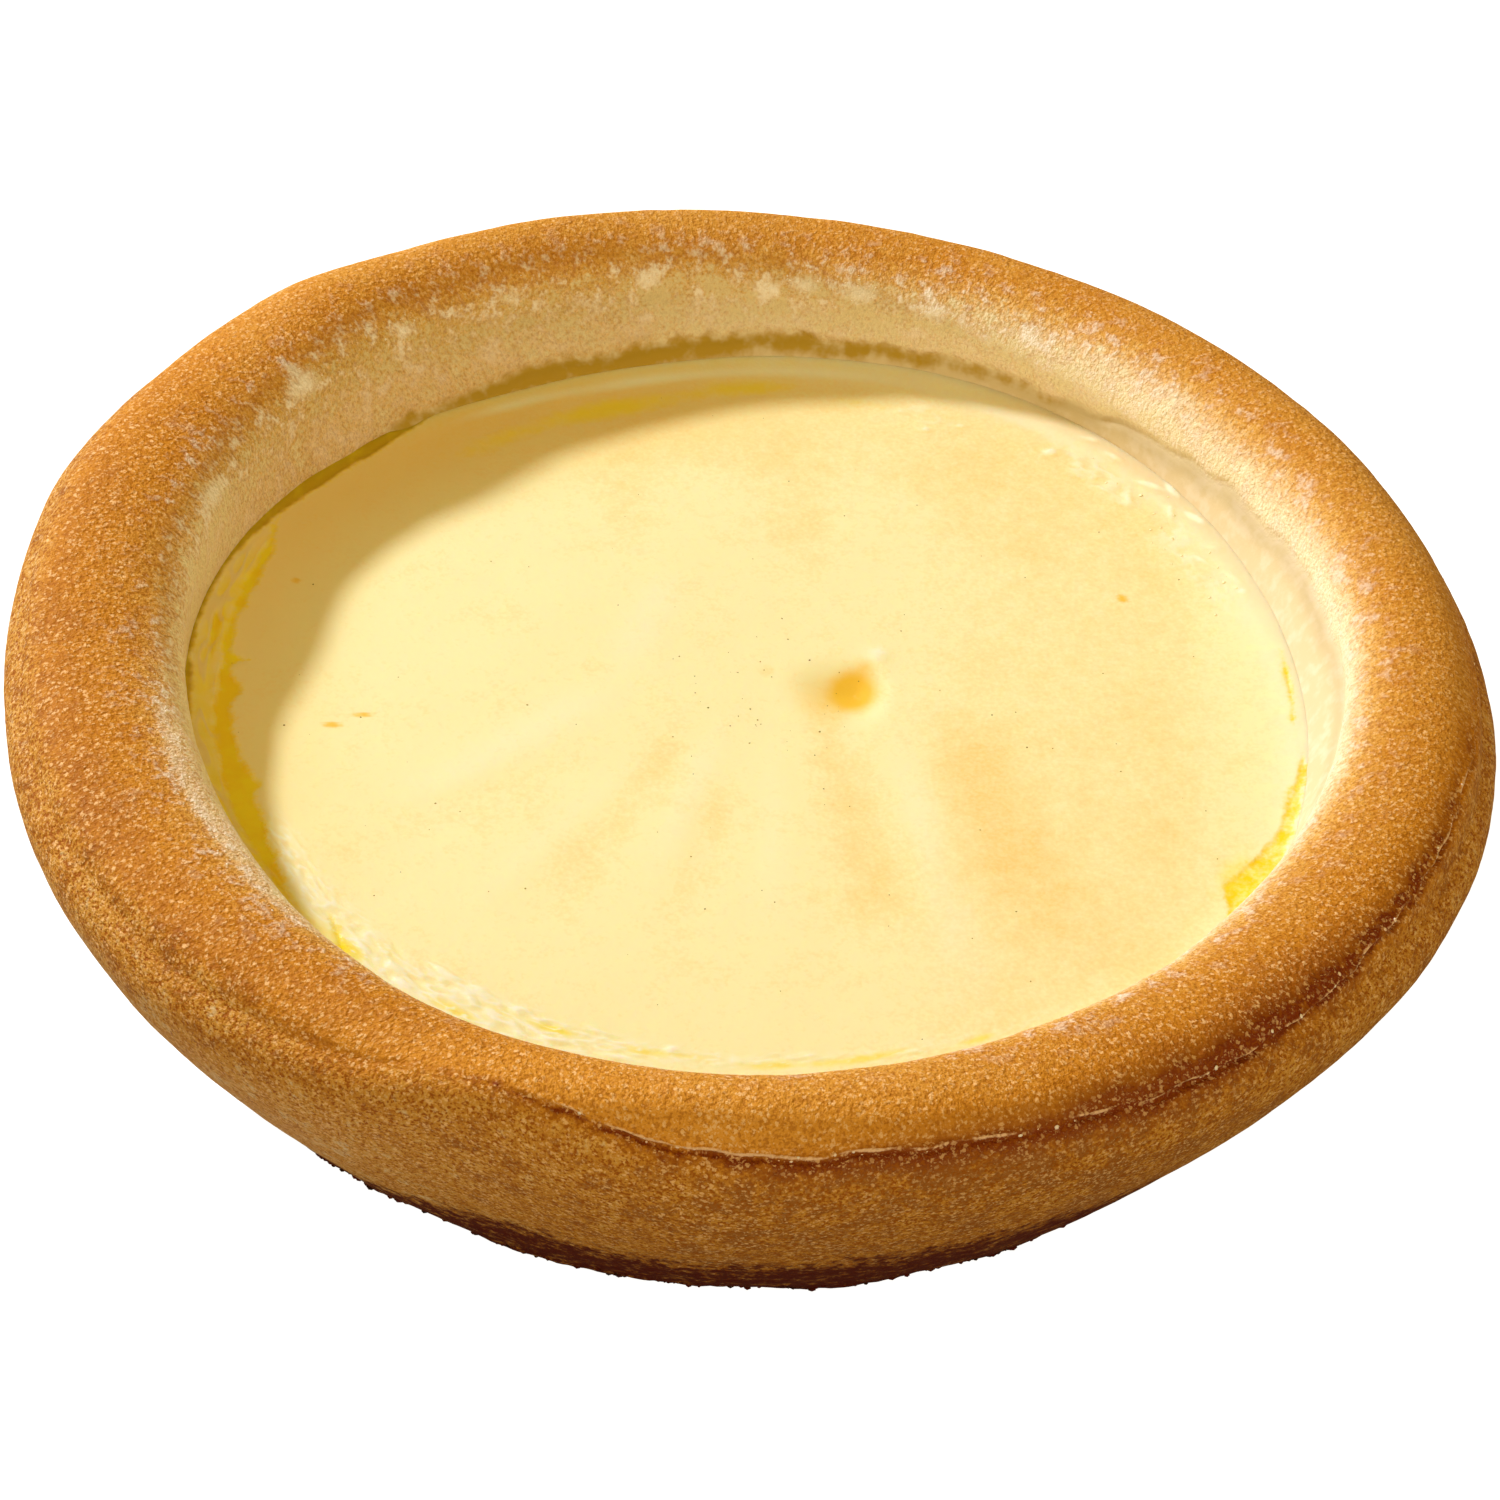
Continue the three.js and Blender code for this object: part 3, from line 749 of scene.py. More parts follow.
def case_path(s):
    """Section of the skin of the case from above the foot to the custard, and the row of the seam."""
    wall = steps(WALL_FROM, 1.0, PATH_ROWS.wall)
    weights = ((1 - wall) ** 3, 3 * wall * (1 - wall) ** 2, 3 * wall * wall * (1 - wall), wall**3)
    radii = (s.base, s.base + WALL_LOW[0], s.seam + WALL_HIGH[0], s.seam)
    heights = (0.0, WALL_LOW[1], s.seam_height - WALL_HIGH[1], s.seam_height)
    outer = np.radians(steps(0.0, 90.0, PATH_ROWS.outer)[1:])
    inner = np.radians(steps(90.0, 0.0, PATH_ROWS.inner)[1:])
    throat = steps(0.0, 1.0, PATH_ROWS.throat)[1:]
    radius = np.concatenate((
        weighed(weights, radii),
        s.crest + (s.seam - s.crest) * np.cos(outer),
        s.crest + (s.mouth - s.crest) * np.cos(inner),
        s.mouth + (s.fill_edge - s.mouth) * throat,
    ))
    height = np.concatenate((
        weighed(weights, heights),
        s.seam_height + s.rise * np.sin(outer),
        s.mouth_height + MOUTH_DROP * np.sin(inner),
        s.mouth_height + (s.fill_height - s.mouth_height) * throat,
    ))
    return radius, height, len(wall) - 1


def arc_length(radius, height):
    """Length along each column from its first row."""
    lengths = np.hypot(np.diff(radius, axis=0), np.diff(height, axis=0))
    return np.concatenate((np.zeros((1, radius.shape[1])), np.cumsum(lengths, axis=0)))


def at_arcs(arcs, arc, values):
    """Values of each column at the given arcs."""
    every = range(arc.shape[1])
    return np.stack([np.interp(arcs[:, c], arc[:, c], values[:, c]) for c in every], axis=1)


def softened(values, spread):
    """Columns smoothed along their length by a bell of rows, with their ends kept."""
    reach = int(3 * spread)
    weights = bell(np.arange(-reach, reach + 1), spread * math.sqrt(2.0))
    weights /= weights.sum()
    padded = np.pad(values, ((reach, reach), (0, 0)), mode="reflect", reflect_type="odd")
    return sum(weight * padded[row : row + len(values)] for row, weight in enumerate(weights))


def case_rows(s):
    """Radius, height and arc of the rows of the case's skin, with the arc 0 at the seam."""
    radius, height, seam_row = case_path(s)
    arc = arc_length(radius, height)
    seam, length = arc[seam_row], arc[-1]
    even = steps(0.0, 1.0, PATH_STEPS) * length
    spread = PATH_SOFTNESS / (length.mean() / PATH_STEPS)
    radius, height = (softened(at_arcs(even, arc, values), spread) for values in (radius, height))
    low, high = seam + SEAM_ZONE[0], seam + SEAM_ZONE[1]
    arcs = np.concatenate((
        low * steps(0.0, 1.0, WALL_ROWS + 1)[:-1],
        low + (high - low) * steps(0.0, 1.0, SEAM_ROWS + 1)[:-1],
        high + (length - high) * steps(0.0, 1.0, RIM_ROWS),
    ))
    return at_arcs(arcs, even, radius), at_arcs(arcs, even, height), arcs - seam


def seam_line(angle):
    """Arc and strength of the torn line."""
    strength = around(SEAM_STRENGTH, angle) * (SEAM_MEAN + ripple(angle, SEAM_BREAKS))
    return around(SEAM_LINE, angle) + ripple(angle, SEAM_RAGGED), np.clip(strength, *SEAM_LIMITS)


def film_edge(angle):
    """Arc of the upper edge of the film of custard on the inner wall."""
    return around(FILM_FROM, angle) + ripple(angle, FILM_RAGGED)


def case_relief(angle, arc, radius):
    """How far the skin of the case stands out, by the torn line, dents and scratches."""
    line, strength = seam_line(angle)
    off = arc - line
    relief = strength * (
        SEAM_LIP.height * bell(off - SEAM_LIP.above, SEAM_LIP.width)
        - SEAM_CREASE.depth * bell(off + SEAM_CREASE.below, SEAM_CREASE.width)
    )
    for at, place, half_width, half_height, turn, depth in SCARS:
        across = np.radians(between(angle, at)) * radius
        scar = oval(across, arc - place, half_width, half_height, turn)
        relief = relief - depth * fade(scar, SPAN.scar)
    depth, width = FILM_CREASE
    return relief - depth * bell(arc - film_edge(angle), width)


def foot_mask(height):
    """1 on the lowest part of the case that stands free of the floor."""
    return grow(height, SPAN.foot) * fade(height, SPAN.foot_end)


def along_span(angle, span):
    """0 before a span of angles, 1 for half a turn after it, smooth between."""
    start, end = span
    return grow(between(angle, end), (start - end, 0))


def case_layers(angle, arc, height):
    """Masks of the case: browning and painted shade, burning, painted light, the torn edge, flour, crumbs,
    the film and the relief.
    """
    line, strength = seam_line(angle)
    off = arc - line
    inward = arc - around(PALE_FROM, angle)
    film = arc - film_edge(angle)
    wall = fade(arc, SPAN.wall)
    inner = grow(inward, SPAN.pale)
    outer = around(OUTER_BROWN, angle) * band(arc, BAND.outer)
    # Painted shade: darker crust near the torn line, where the rim's lower side turns from the light
    dusk = SHARE.dusk * along(SEAM_SHADE, angle) * bell(off - along(SEAM_SHADE, angle, 1), SEAM_SHADE_SPREAD)
    crust = SHARE.crust + around(WALL_BROWN, angle) * wall + outer + dusk
    side = bell(off - SCORCH_AND_SHADE.offset * around(SCORCH_AND_SHADE_SIDE, angle), SCORCH_AND_SHADE.spread)
    # Scorching and painted shade beside the torn line, with a painted shadow just under its lip
    scorch = SHARE.scorch * side + SHARE.split * band(off, BAND.split)
    dark = SHARE.dark * fade(arc - around(CHAR_EDGE, angle), SPAN.dark)
    foot = height / (around(CHAR_BAND, angle) + ripple(angle, CHAR_RAGGED))
    # Painted shade, partly a duller tone, on the back of the inner side
    olive = grow(inward, SPAN.olive) * (1.0 - SHARE.olive_end * grow(inward, SPAN.olive_end))
    # Amber, partly painted shade where the custard meets the wall
    amber = bell(film - around(AMBER_BAND, angle), around(AMBER_BAND, angle, 1))
    amber = around(FILM_AMBER, angle) * (amber + SHARE.amber * grow(film, SPAN.amber))
    froth = around(FROTH, angle) * band(inward, BAND.froth)
    layers = {
        # The inner side's browning is partly painted shade at the back
        "browning": crust * (1.0 - inner) + around(INNER_BROWN_AND_SHADE, angle) * inner,
        "scorch": around(SCORCH_AND_SHADE_STRENGTH, angle) * scorch,
        "dusk": dusk,
        "frost": along(FROST, angle) * wall,
        "char": np.maximum(dark, fade(foot, SPAN.burnt)),
        # Painted light above the torn line at the front
        "ember": along(PAINTED_LIGHT, angle) * band(arc, BAND.ember) * grow(off, SPAN.ember),
        "olive": around(SHADED_OLIVE, angle) * olive,
        "froth": froth,
        "inner": inner,
        "wall": fade(off, SPAN.below),
        "grainy": around(GRAINY, angle) * (1.0 - SHARE.plain * grow(film, SPAN.plain)),
        "film": grow(film, SPAN.film),
        "film_low": grow(film, SPAN.film_low),
        # Painted shade in the crease at the film's upper edge
        "crease": around(CREASE_SHADE, angle) * band(film, BAND.crease),
        "amber": amber + along(AMBER_LINE, angle) * band(film, BAND.line),
        "torn": unit(SHARE.torn * strength * along(TORN_SHOW, angle) * band(off, BAND.torn)),
        "flour": patches(FLOUR_PATCHES, angle, arc),
        "crumbs": SHARE.crumbs * strength * band(off, BAND.crumbs) * along_span(angle, SPAN.crumbs),
        "foot": foot_mask(height),
    }
    bare = 1.0 - layers["film"]
    relief = 1.0 + RELIEF.froth * (froth * bare) - RELIEF.film * layers["film"]
    layers["relief"] = relief * grow(height, SPAN.relief)
    layers["relief"] += RELIEF.foot * layers["foot"]
    layers["relief"][-1] = 0.0
    return layers


def with_ends(values, before, after):
    """Rows of a mask, with its first and last rows repeated for the rings before and after."""
    return np.pad(values, ((before, after), (0, 0)), mode="edge")


def case_mesh(sizes):
    """Mesh of the dough with its masks."""
    angle = np.arange(CASE_COLUMNS) * 360.0 / CASE_COLUMNS
    s = case_section(angle, sizes)
    radius, height, arc = case_rows(s)
    out, up = np.gradient(height, axis=0), -np.gradient(radius, axis=0)
    span = np.hypot(out, up)
    relief = case_relief(angle, arc, radius)
    skin = polar(angle, radius + relief * out / span, height + relief * up / span)
    base = s.base - FOOT_ROUND
    under = [polar(angle, base * share, 0.0) for share in UNDER_SHARES]
    corner = (base, s.base - HEEL.inset, radius[0])
    lift = (0.0, HEEL.lift, height[0])
    curve = [((1 - t) ** 2, 2 * t * (1 - t), t * t) for t in FOOT_SHARES]
    heel_height = np.stack([weighed(weights, lift) for weights in curve])
    heel = [polar(angle, weighed(weights, corner), h) for weights, h in zip(curve, heel_height)]
    bed = [
        polar(angle, (s.fill_edge + s.floor) / 2.0, (s.fill_height + FLOOR_HEIGHT) / 2.0),
        polar(angle, s.floor, FLOOR_HEIGHT),
    ]
    before, after = len(under) + len(heel), len(bed)
    masks = case_layers(angle, arc, height)
    layers = {name: with_ends(values, before, after) for name, values in masks.items()}
    for name, amount in (("relief", RELIEF.foot), ("foot", 1.0)):
        layers[name][: len(under)] = 0.0
        layers[name][len(under) : before] = amount * foot_mask(heel_height)
    low = arc[:1] - np.arange(before, 0, -1)[:, None] * GRAIN.under
    high = arc[-1:] + np.arange(1, after + 1)[:, None] * GRAIN.bed
    drawn = np.concatenate((low, arc, high))
    drawn = np.where(drawn > 0.0, GRAIN.rim * drawn, GRAIN.wall * drawn)
    layers["grain"] = polar(angle, GRAIN.radius, drawn) * MM
    poles = ((0.0, 0.0, 0.0), (0.0, 0.0, FLOOR_HEIGHT))
    return turned_mesh("dough_crust", np.concatenate((under, heel, skin, bed)), poles, layers)


def turned_mesh(name, rings, poles, layers):
    """Closed mesh from rings of points in millimetres, with a point at both ends, and masks."""
    count, per_turn = rings.shape[:2]
    points = np.concatenate((rings.reshape(-1, 3), poles)) * MM
    first, last = count * per_turn, count * per_turn + 1
    here = np.arange(per_turn)
    after = (here + 1) % per_turn
    faces = []
    for row in range(count - 1):
        low, high = row * per_turn, (row + 1) * per_turn
        faces.extend(np.stack((low + here, low + after, high + after, high + here), axis=1).tolist())
    top = (count - 1) * per_turn
    faces.extend((first, int(b), int(a)) for a, b in zip(here, after))
    faces.extend((top + int(a), top + int(b), last) for a, b in zip(here, after))
    mesh = bpy.data.meshes.new(name)
    mesh.from_pydata(points.tolist(), [], faces)
    for layer, values in layers.items():
        vector = values.ndim == 3
        ends = np.stack((values[0].mean(0), values[-1].mean(0)))
        flat = np.concatenate((values.reshape(-1, 3) if vector else values.ravel(), ends))
        made = mesh.attributes.new(layer, "FLOAT_VECTOR" if vector else "FLOAT", "POINT")
        made.data.foreach_set("vector" if vector else "value", flat.ravel().astype(np.float32))
    mesh.shade_smooth()
    mesh.validate()
    return mesh


def tear(points, angle, inset, spikes=()):
    """How deep a place lies inside a tear, in millimetres, less than 0 outside it."""
    outer, inner = along(points, angle), along(points, angle, 1)
    for at, length, spread in spikes:
        inner = inner + length * bell(between(angle, at), spread)
    first, last = min(points), max(points)
    beyond = np.maximum(np.abs(between(angle, (first + last) / 2.0)) - (last - first) / 2.0, 0.0)
    return np.minimum(inset - outer, inner - inset) - TEAR_TAPER * beyond


def custard_tears(angle, inset, fray):
    """Depth of a place inside the torn skin and inside the wall's gap, and how far it has sunk."""
    moat = tear(MOAT, angle, inset, MOAT_SPIKES) + fray
    upper = tear(UPPER_TEAR, angle, inset) + RAGGED.upper * fray
    slits = np.maximum(tear(SLIT, angle, inset), tear(THIN_TEAR, angle, inset)) + RAGGED.slits * fray
    right = np.minimum(tear(RIGHT_TEAR, angle, inset) + RAGGED.right * fray, RIGHT_TEAR_DEEPEST)
    gap = along(WALL_GAP, angle) - inset + RAGGED.gap * fray
    deep = np.maximum(moat, gap)
    shallow = np.maximum.reduce((upper, slits, right))
    sunk = np.maximum(TEAR_DEPTH * grow(deep, TEAR_SPAN), SLIT_DEPTH * grow(shallow, SLIT_SPAN))
    return np.maximum(deep, shallow), gap, sunk


def dimple_share(x, y):
    """Distance from the middle of the dimple, as a share of its uneven reach."""
    off_x, off_y = x - DIMPLE_CENTRE[0], y - DIMPLE_CENTRE[1]
    reach_x = np.where(off_x > 0, DIMPLE_REACH.right, DIMPLE_REACH.left)
    reach_y = np.where(off_y > 0, DIMPLE_REACH.up, DIMPLE_REACH.down)
    return np.hypot(off_x / reach_x, off_y / reach_y)


def custard_folds(x, y):
    """Soft folds of the skin, above 0 in the valleys and below 0 on the pale ridges, for painted shade and
    light.
    """
    folds = np.zeros_like(x)
    for from_x, from_y, to_x, to_y, half_start, half_end, amount in FOLDS:
        length = math.hypot(to_x - from_x, to_y - from_y)
        way_x, way_y = (to_x - from_x) / length, (to_y - from_y) / length
        share = ((x - from_x) * way_x + (y - from_y) * way_y) / length
        across = (y - from_y) * way_x - (x - from_x) * way_y
        half = half_start + (half_end - half_start) * unit(share)
        folds += amount * (grow(share, FOLD_START) * fade(share, FOLD_END)) * bell(across, half)
    return folds


def fleck_mask(marks, x, y):
    """Amount of small marks in the skin, falling to 0 outside them."""
    result = np.zeros_like(x)
    for at_x, at_y, half_length, half_width, turn, amount in marks:
        off = oval(x - at_x, y - at_y, half_length, half_width, turn)
        result = np.maximum(result, amount * fade(off, FLECK_EDGE))
    return result


def custard_edge(angle, s):
    """Radius at which the custard, climbing a little, meets the wall."""
    lean = (s.mouth - s.fill_edge) / (s.mouth_height - s.fill_height)
    return s.fill_edge + around(CLIMB, angle) * lean


def custard_grid(column, s):
    """Insets of the rows near the edge, and the points of all rows from there into the dimple."""
    insets = steps(-EMBED, EDGE_ZONE, EDGE_ROWS)
    outer = polar(column, custard_edge(column, s) - insets, 0.0)
    middle = np.array((*DIMPLE_CENTRE, 0.0))
    start = outer[-1] - middle
    ring = DIMPLE_ZONE * start / np.linalg.norm(start, axis=-1, keepdims=True)
    far = [middle + start + (ring - start) * t for t in np.linspace(0.0, 1.0, OPEN_ROWS)[1:]]
    near = [middle + ring * (1.0 - t) for t in np.linspace(0.0, 1.0, DIMPLE_ROWS)[1:-1]]
    return insets, np.concatenate((outer, far, near))


def edge_rows(values):
    """Values of the rows near the edge, and 0 on the rows inside them."""
    inside = OPEN_ROWS - 1 + DIMPLE_ROWS - 2
    return np.pad(values, ((0, inside), (0, 0)))


def custard_mesh(sizes):
    """Mesh of the custard with its masks."""
    column = np.arange(CUSTARD_COLUMNS) * 360.0 / CUSTARD_COLUMNS
    s = case_section(column, sizes)
    insets, top = custard_grid(column, s)
    outer = top[:EDGE_ROWS]
    x, y = top[..., 0], top[..., 1]
    angle = np.degrees(np.arctan2(y, x))
    inset = custard_edge(angle, case_section(angle, sizes)) - np.hypot(x, y)
    fine_fray = RAGGED.fine * RAGGED.coarse * rough(outer, SKIN_NOISE.fine_fray)
    fray = edge_rows(RAGGED.coarse * rough(outer, SKIN_NOISE.fray) + fine_fray)
    depth, gap, sunk = custard_tears(angle, inset, fray)
    folds = custard_folds(x, y)
    glints = fleck_mask(GLINTS, x, y)
    wrinkle, beads = patches(WRINKLES, angle, inset), patches(BEADS, angle, inset)
    strands = ridged(outer, FROTH_STEEP, SKIN_NOISE.froth) + FINE_SHARE * rough(outer, SKIN_NOISE.fine_froth)
    froth = edge_rows(grow(strands, FROTH_SPAN) * grow(rough(outer, SKIN_NOISE.froth_gate), FROTH_GATE))
    wavy = polar(column, WAVY_RADIUS, insets + ripple(column, WRINKLE_WANDER))
    ridges = ridged(wavy, RIDGE_STEEP, SKIN_NOISE.ridges) + FINE_SHARE * rough(wavy, SKIN_NOISE.fine_ridges)
    ridges = edge_rows(ridges)
    drawn = polar(column, DRAWN_RADIUS, insets)
    streaks = edge_rows(grow(ridged(drawn, RIDGE_STEEP, SKIN_NOISE.streaks), STREAK_SPAN))
    streaks = streaks * patches(STREAKS, angle, inset)
    climb = around(CLIMB, column) * np.exp(-np.maximum(insets, 0.0) / around(CLIMB, column, 1))
    knob = spot(x, y, KNOB)
    height = (
        s.fill_height
        + edge_rows(climb * grow(EDGE_ZONE - insets, CLIMB_END))
        - sunk
        - DIMPLE_DEPTH * fade(dimple_share(x, y), DIMPLE_SPAN)
        + KNOB.height * knob
        - DISH.depth * spot(x, y, DISH)
        - FOLD_DEPTH * folds
        + RAISED.wrinkles * wrinkle * ridges
        + RAISED.streaks * streaks
        + RAISED.froth * froth * beads
        + RAISED.glints * glints
        + RAISED.swells * rough(top, SKIN_NOISE.swells)
    )
    top[..., 2] = height
    bottom, floor = FLOOR_HEIGHT + GAP, s.floor - GAP
    below = [
        polar(column, floor / 2.0, bottom),
        polar(column, floor, bottom),
        polar(column, (floor + s.fill_edge) / 2.0, (bottom + s.fill_height) / 2.0),
        polar(column, s.fill_edge - TUCK.inset, s.fill_height - TUCK.drop),
    ]
    # Painted shade of the dimple's hollow with its orange stain, and a softer painted shadow beside it
    stain, shade = DIMPLE_STAIN_AND_SHADE, DIMPLE_SHADE
    hollow = fade(oval(x - stain.x, y - stain.y, *stain.half), stain.edge)
    hollow += DIMPLE_TONGUE.amount * spot(x, y, DIMPLE_TONGUE)
    hollow += shade.amount * bell(oval(x - shade.x, y - shade.y, *shade.half), shade.spread)
    right = grow(x, PEACH.right) * (1.0 - PEACH.end_share * grow(x, PEACH.right_end))
    peach = PEACH.right_share * right + PEACH.back_share * grow(y, PEACH.back)
    # Painted highlights on the wrinkles' ridges and on the froth
    highlights = wrinkle * unit(ridges) + HIGHLIGHT.froth * froth * beads
    layers = {
        "bare": np.clip(depth, -1.0, 1.0),
        "hollow": unit(hollow),
        # Warmer skin, with painted shade in the valleys of the folds
        "peach": unit(peach + np.maximum(folds, 0.0)),
        # Pale edges, painted light on the fold ridges and painted highlights on wrinkles and froth
        "pale": unit(patches(PALE_EDGE, angle, inset) + np.maximum(-folds, 0.0) + highlights),
        # Painted highlights: the knob, the glints and the tops of the wrinkles
        "glint": unit(knob + glints + HIGHLIGHT.wrinkles * wrinkle * grow(ridges, RIDGE_TOP)),
        "streak": streaks,
        "gap": grow(gap, GAP_SPAN),
        # Amber patches, partly painted shade at the edge of the rim's shadow at the back
        "stain": patches(STAINS_AND_SHADE, angle, inset),
        # Painted shade, partly deeper custard, where the rim's shadow falls
        "deep": along(SHADE_EDGE, angle) * fade(inset, SHADE_SPAN),
        "fleck": fleck_mask(FLECKS, x, y),
        "moist": np.maximum.reduce((wrinkle, beads, glints)),
        "beads": beads,
        "specks": (SPECK_CLUSTER.least + spot(x, y, SPECK_CLUSTER)) * grow(inset, SPECK_CLUSTER.span),
        "film": around(FILM_SHOW, angle) * fade(inset, FILM_REACH),
    }
    layers = {name: with_ends(values, len(below), 0) for name, values in layers.items()}
    for name in ("beads", "specks"):
        layers[name][: len(below)] = 0.0
    poles = ((0.0, 0.0, bottom), (*DIMPLE_CENTRE, float(height[-1].mean())))
    return turned_mesh("custard", np.concatenate((below, top)), poles, layers)


def node(tree, kind, inputs=(), **settings):
    """A node with its settings and with values or links on its inputs."""
    made = tree.nodes.new(kind)
    for name, value in settings.items():
        setattr(made, name, value)
    for key, value in dict(inputs).items():
        if isinstance(value, bpy.types.NodeSocket):
            tree.links.new(value, made.inputs[key])
        else:
            made.inputs[key].default_value = value
    return made


def calc(tree, operation, first, second=0.0, third=0.0):
    """Result of a Math node."""
    return node(tree, "ShaderNodeMath", {0: first, 1: second, 2: third}, operation=operation).outputs[0]


def total(tree, *values):
    """Sum of several values."""
    return reduce(lambda first, second: calc(tree, "ADD", first, second), values)


def times(tree, *values):
    """Product of several values."""
    return reduce(lambda first, second: calc(tree, "MULTIPLY", first, second), values)


def remap(tree, value, span, to=(0.0, 1.0)):
    """A value eased from one range to another."""
    inputs = {"Value": value, "From Min": span[0], "From Max": span[1], "To Min": to[0], "To Max": to[1]}
    return node(tree, "ShaderNodeMapRange", inputs, interpolation_type="SMOOTHSTEP").outputs["Result"]


def blend(tree, factor, first, second):
    """A mix of two colours."""
    first, second = (c if isinstance(c, bpy.types.NodeSocket) else (*c, 1.0) for c in (first, second))
    return node(tree, "ShaderNodeMix", {0: factor, 6: first, 7: second}, data_type="RGBA").outputs[2]


def mask(tree, name, share=1.0):
    """A share of a mask stored on the points of the mesh."""
    value = node(tree, "ShaderNodeAttribute", attribute_name=name).outputs["Fac"]
    return value if share == 1.0 else times(tree, value, share)


def swings(tree, noises, amounts):
    """Sum of noises, each turned into a swing about 0."""
    ends = [(noises[name], 2.0 * amount, -amount) for name, amount in amounts.items()]
    return total(tree, *(calc(tree, "MULTIPLY_ADD", *end) for end in ends))


def sized_noise(tree, size, inputs, **settings):
    """Noise with bumps of a size."""
    scale = calc(tree, "DIVIDE", 1.0, size)
    return node(tree, "ShaderNodeTexNoise", {"Scale": scale, **inputs}, **settings).outputs[0]


def new_tree(name, kind, inputs, outputs):
    """A node group with named inputs and outputs, its inputs as sockets and its end."""
    tree = bpy.data.node_groups.new(name, kind)
    for label, socket, default in inputs:
        made = tree.interface.new_socket(label, in_out="INPUT", socket_type=f"NodeSocket{socket}")
        if default is not None:
            made.default_value = default
    for label, socket in outputs:
        tree.interface.new_socket(label, in_out="OUTPUT", socket_type=f"NodeSocket{socket}")
    return tree, node(tree, "NodeGroupInput").outputs, node(tree, "NodeGroupOutput")


def mottle_group():
    """Shader group with slow patches, mottling and fine grain, for dough and custard."""
    parts = (("Patch", 14.0, 2.0), ("Mottle", 2.6, 2.0), ("Grain", 0.5, 1.5))
    inputs = [("Place", "Vector", None)] + [(f"{name} Size", "Float", size * MM) for name, size, _ in parts]
    outputs = [(name, "Float") for name, _, _ in parts]
    tree, given, end = new_tree("Baked Mottle", "ShaderNodeTree", inputs, outputs)
    for name, _, detail in parts:
        inputs = {"Vector": given["Place"], "Detail": detail, "Roughness": 0.6}
        tree.links.new(sized_noise(tree, given[f"{name} Size"], inputs), end.inputs[name])
    return tree


def mottle(tree, place, sizes):
    """Noises by name, from the mottle group placed in a material with its own sizes."""
    group = bpy.data.node_groups.get("Baked Mottle") or mottle_group()
    patch, mottles, grain = (size * MM for size in sizes.values())
    inputs = {"Place": place, "Patch Size": patch, "Mottle Size": mottles, "Grain Size": grain}
    return dict(zip(sizes, node(tree, "ShaderNodeGroup", inputs, node_tree=group).outputs))


def object_place(tree):
    """Place in the object's own frame."""
    return node(tree, "ShaderNodeTexCoord").outputs["Object"]


def coated(tree, colour, coats, noises, paints):
    """A colour under coats with frayed edges, and the cover of each coat."""
    covers = {}
    for paint, name, fray, span, most, full in coats:
        amount = mask(tree, name)
        where = remap(tree, amount, (0.0, full)) if full else 1.0
        uneven = calc(tree, "MULTIPLY_ADD", swings(tree, noises, fray), where, amount)
        covers[name] = remap(tree, uneven, span, (0.0, most))
        colour = blend(tree, covers[name], colour, paints[paint])
    return colour, covers


def cloud(tree, noises, shape):
    """Cloudy cover from the mottling."""
    fray, span, most = shape
    return remap(tree, total(tree, noises["mottles"], swings(tree, noises, fray)), span, (0.0, most))


def new_material(name):
    """A material with a Principled shader, its node tree and the shader's inputs."""
    material = bpy.data.materials.new(name)
    material.use_nodes = True
    tree = material.node_tree
    return material, tree, tree.nodes["Principled BSDF"].inputs


def set_values(sockets, values):
    """Sets values on named sockets."""
    for name, value in values.items():
        sockets[name].default_value = value


def set_skin(tree, shader, colour, roughness, bumps, height, strength=1.0):
    """Links colour, roughness and bumps of a height to a shader."""
    inputs = {"Height": bumps, "Distance": height * MM, "Strength": strength}
    normal = node(tree, "ShaderNodeBump", inputs).outputs["Normal"]
    for name, value in (("Base Color", colour), ("Roughness", roughness), ("Normal", normal)):
        tree.links.new(value, shader[name])


def mixed(tree, noises, shares):
    """Sum of shares of noises."""
    return total(tree, *(times(tree, noises[name], share) for name, share in shares.items()))


def cover(tree, name):
    """Cover of a coat that follows its mask alone."""
    return mask(tree, name, COVER[name])


def crust_ramp(tree, brown, paints):
    """Colour of the crust by how brown it is."""
    made = node(tree, "ShaderNodeValToRGB", {"Fac": brown})
    elements = made.color_ramp.elements
    for index, (name, at) in enumerate(CRUST_STOPS.items()):
        stop = elements[index] if index < 2 else elements.new(at)
        stop.position = at
        stop.color = (*paints[name], 1.0)
    return made.outputs[0]


def blisters(tree, drawn, noises, fine):
    """Pale specks of the crust, partly blisters and partly painted glints, one to a cell, and finer ones."""
    cells = node(tree, "ShaderNodeTexVoronoi", {"Vector": drawn, "Scale": 1.0 / (BLISTER_AND_GLINT.spacing * MM)})
    ragged = total(tree, cells.outputs["Distance"], swings(tree, noises, BLISTER_AND_GLINT.fray))
    strength = remap(tree, cells.outputs["Color"], BLISTER_AND_GLINT.cells, BLISTER_AND_GLINT.strength)
    large = times(tree, remap(tree, ragged, BLISTER_AND_GLINT.edge), strength)
    return calc(tree, "MAXIMUM", large, remap(tree, fine, SPECKS.fine, (0.0, SPECKS.most)))


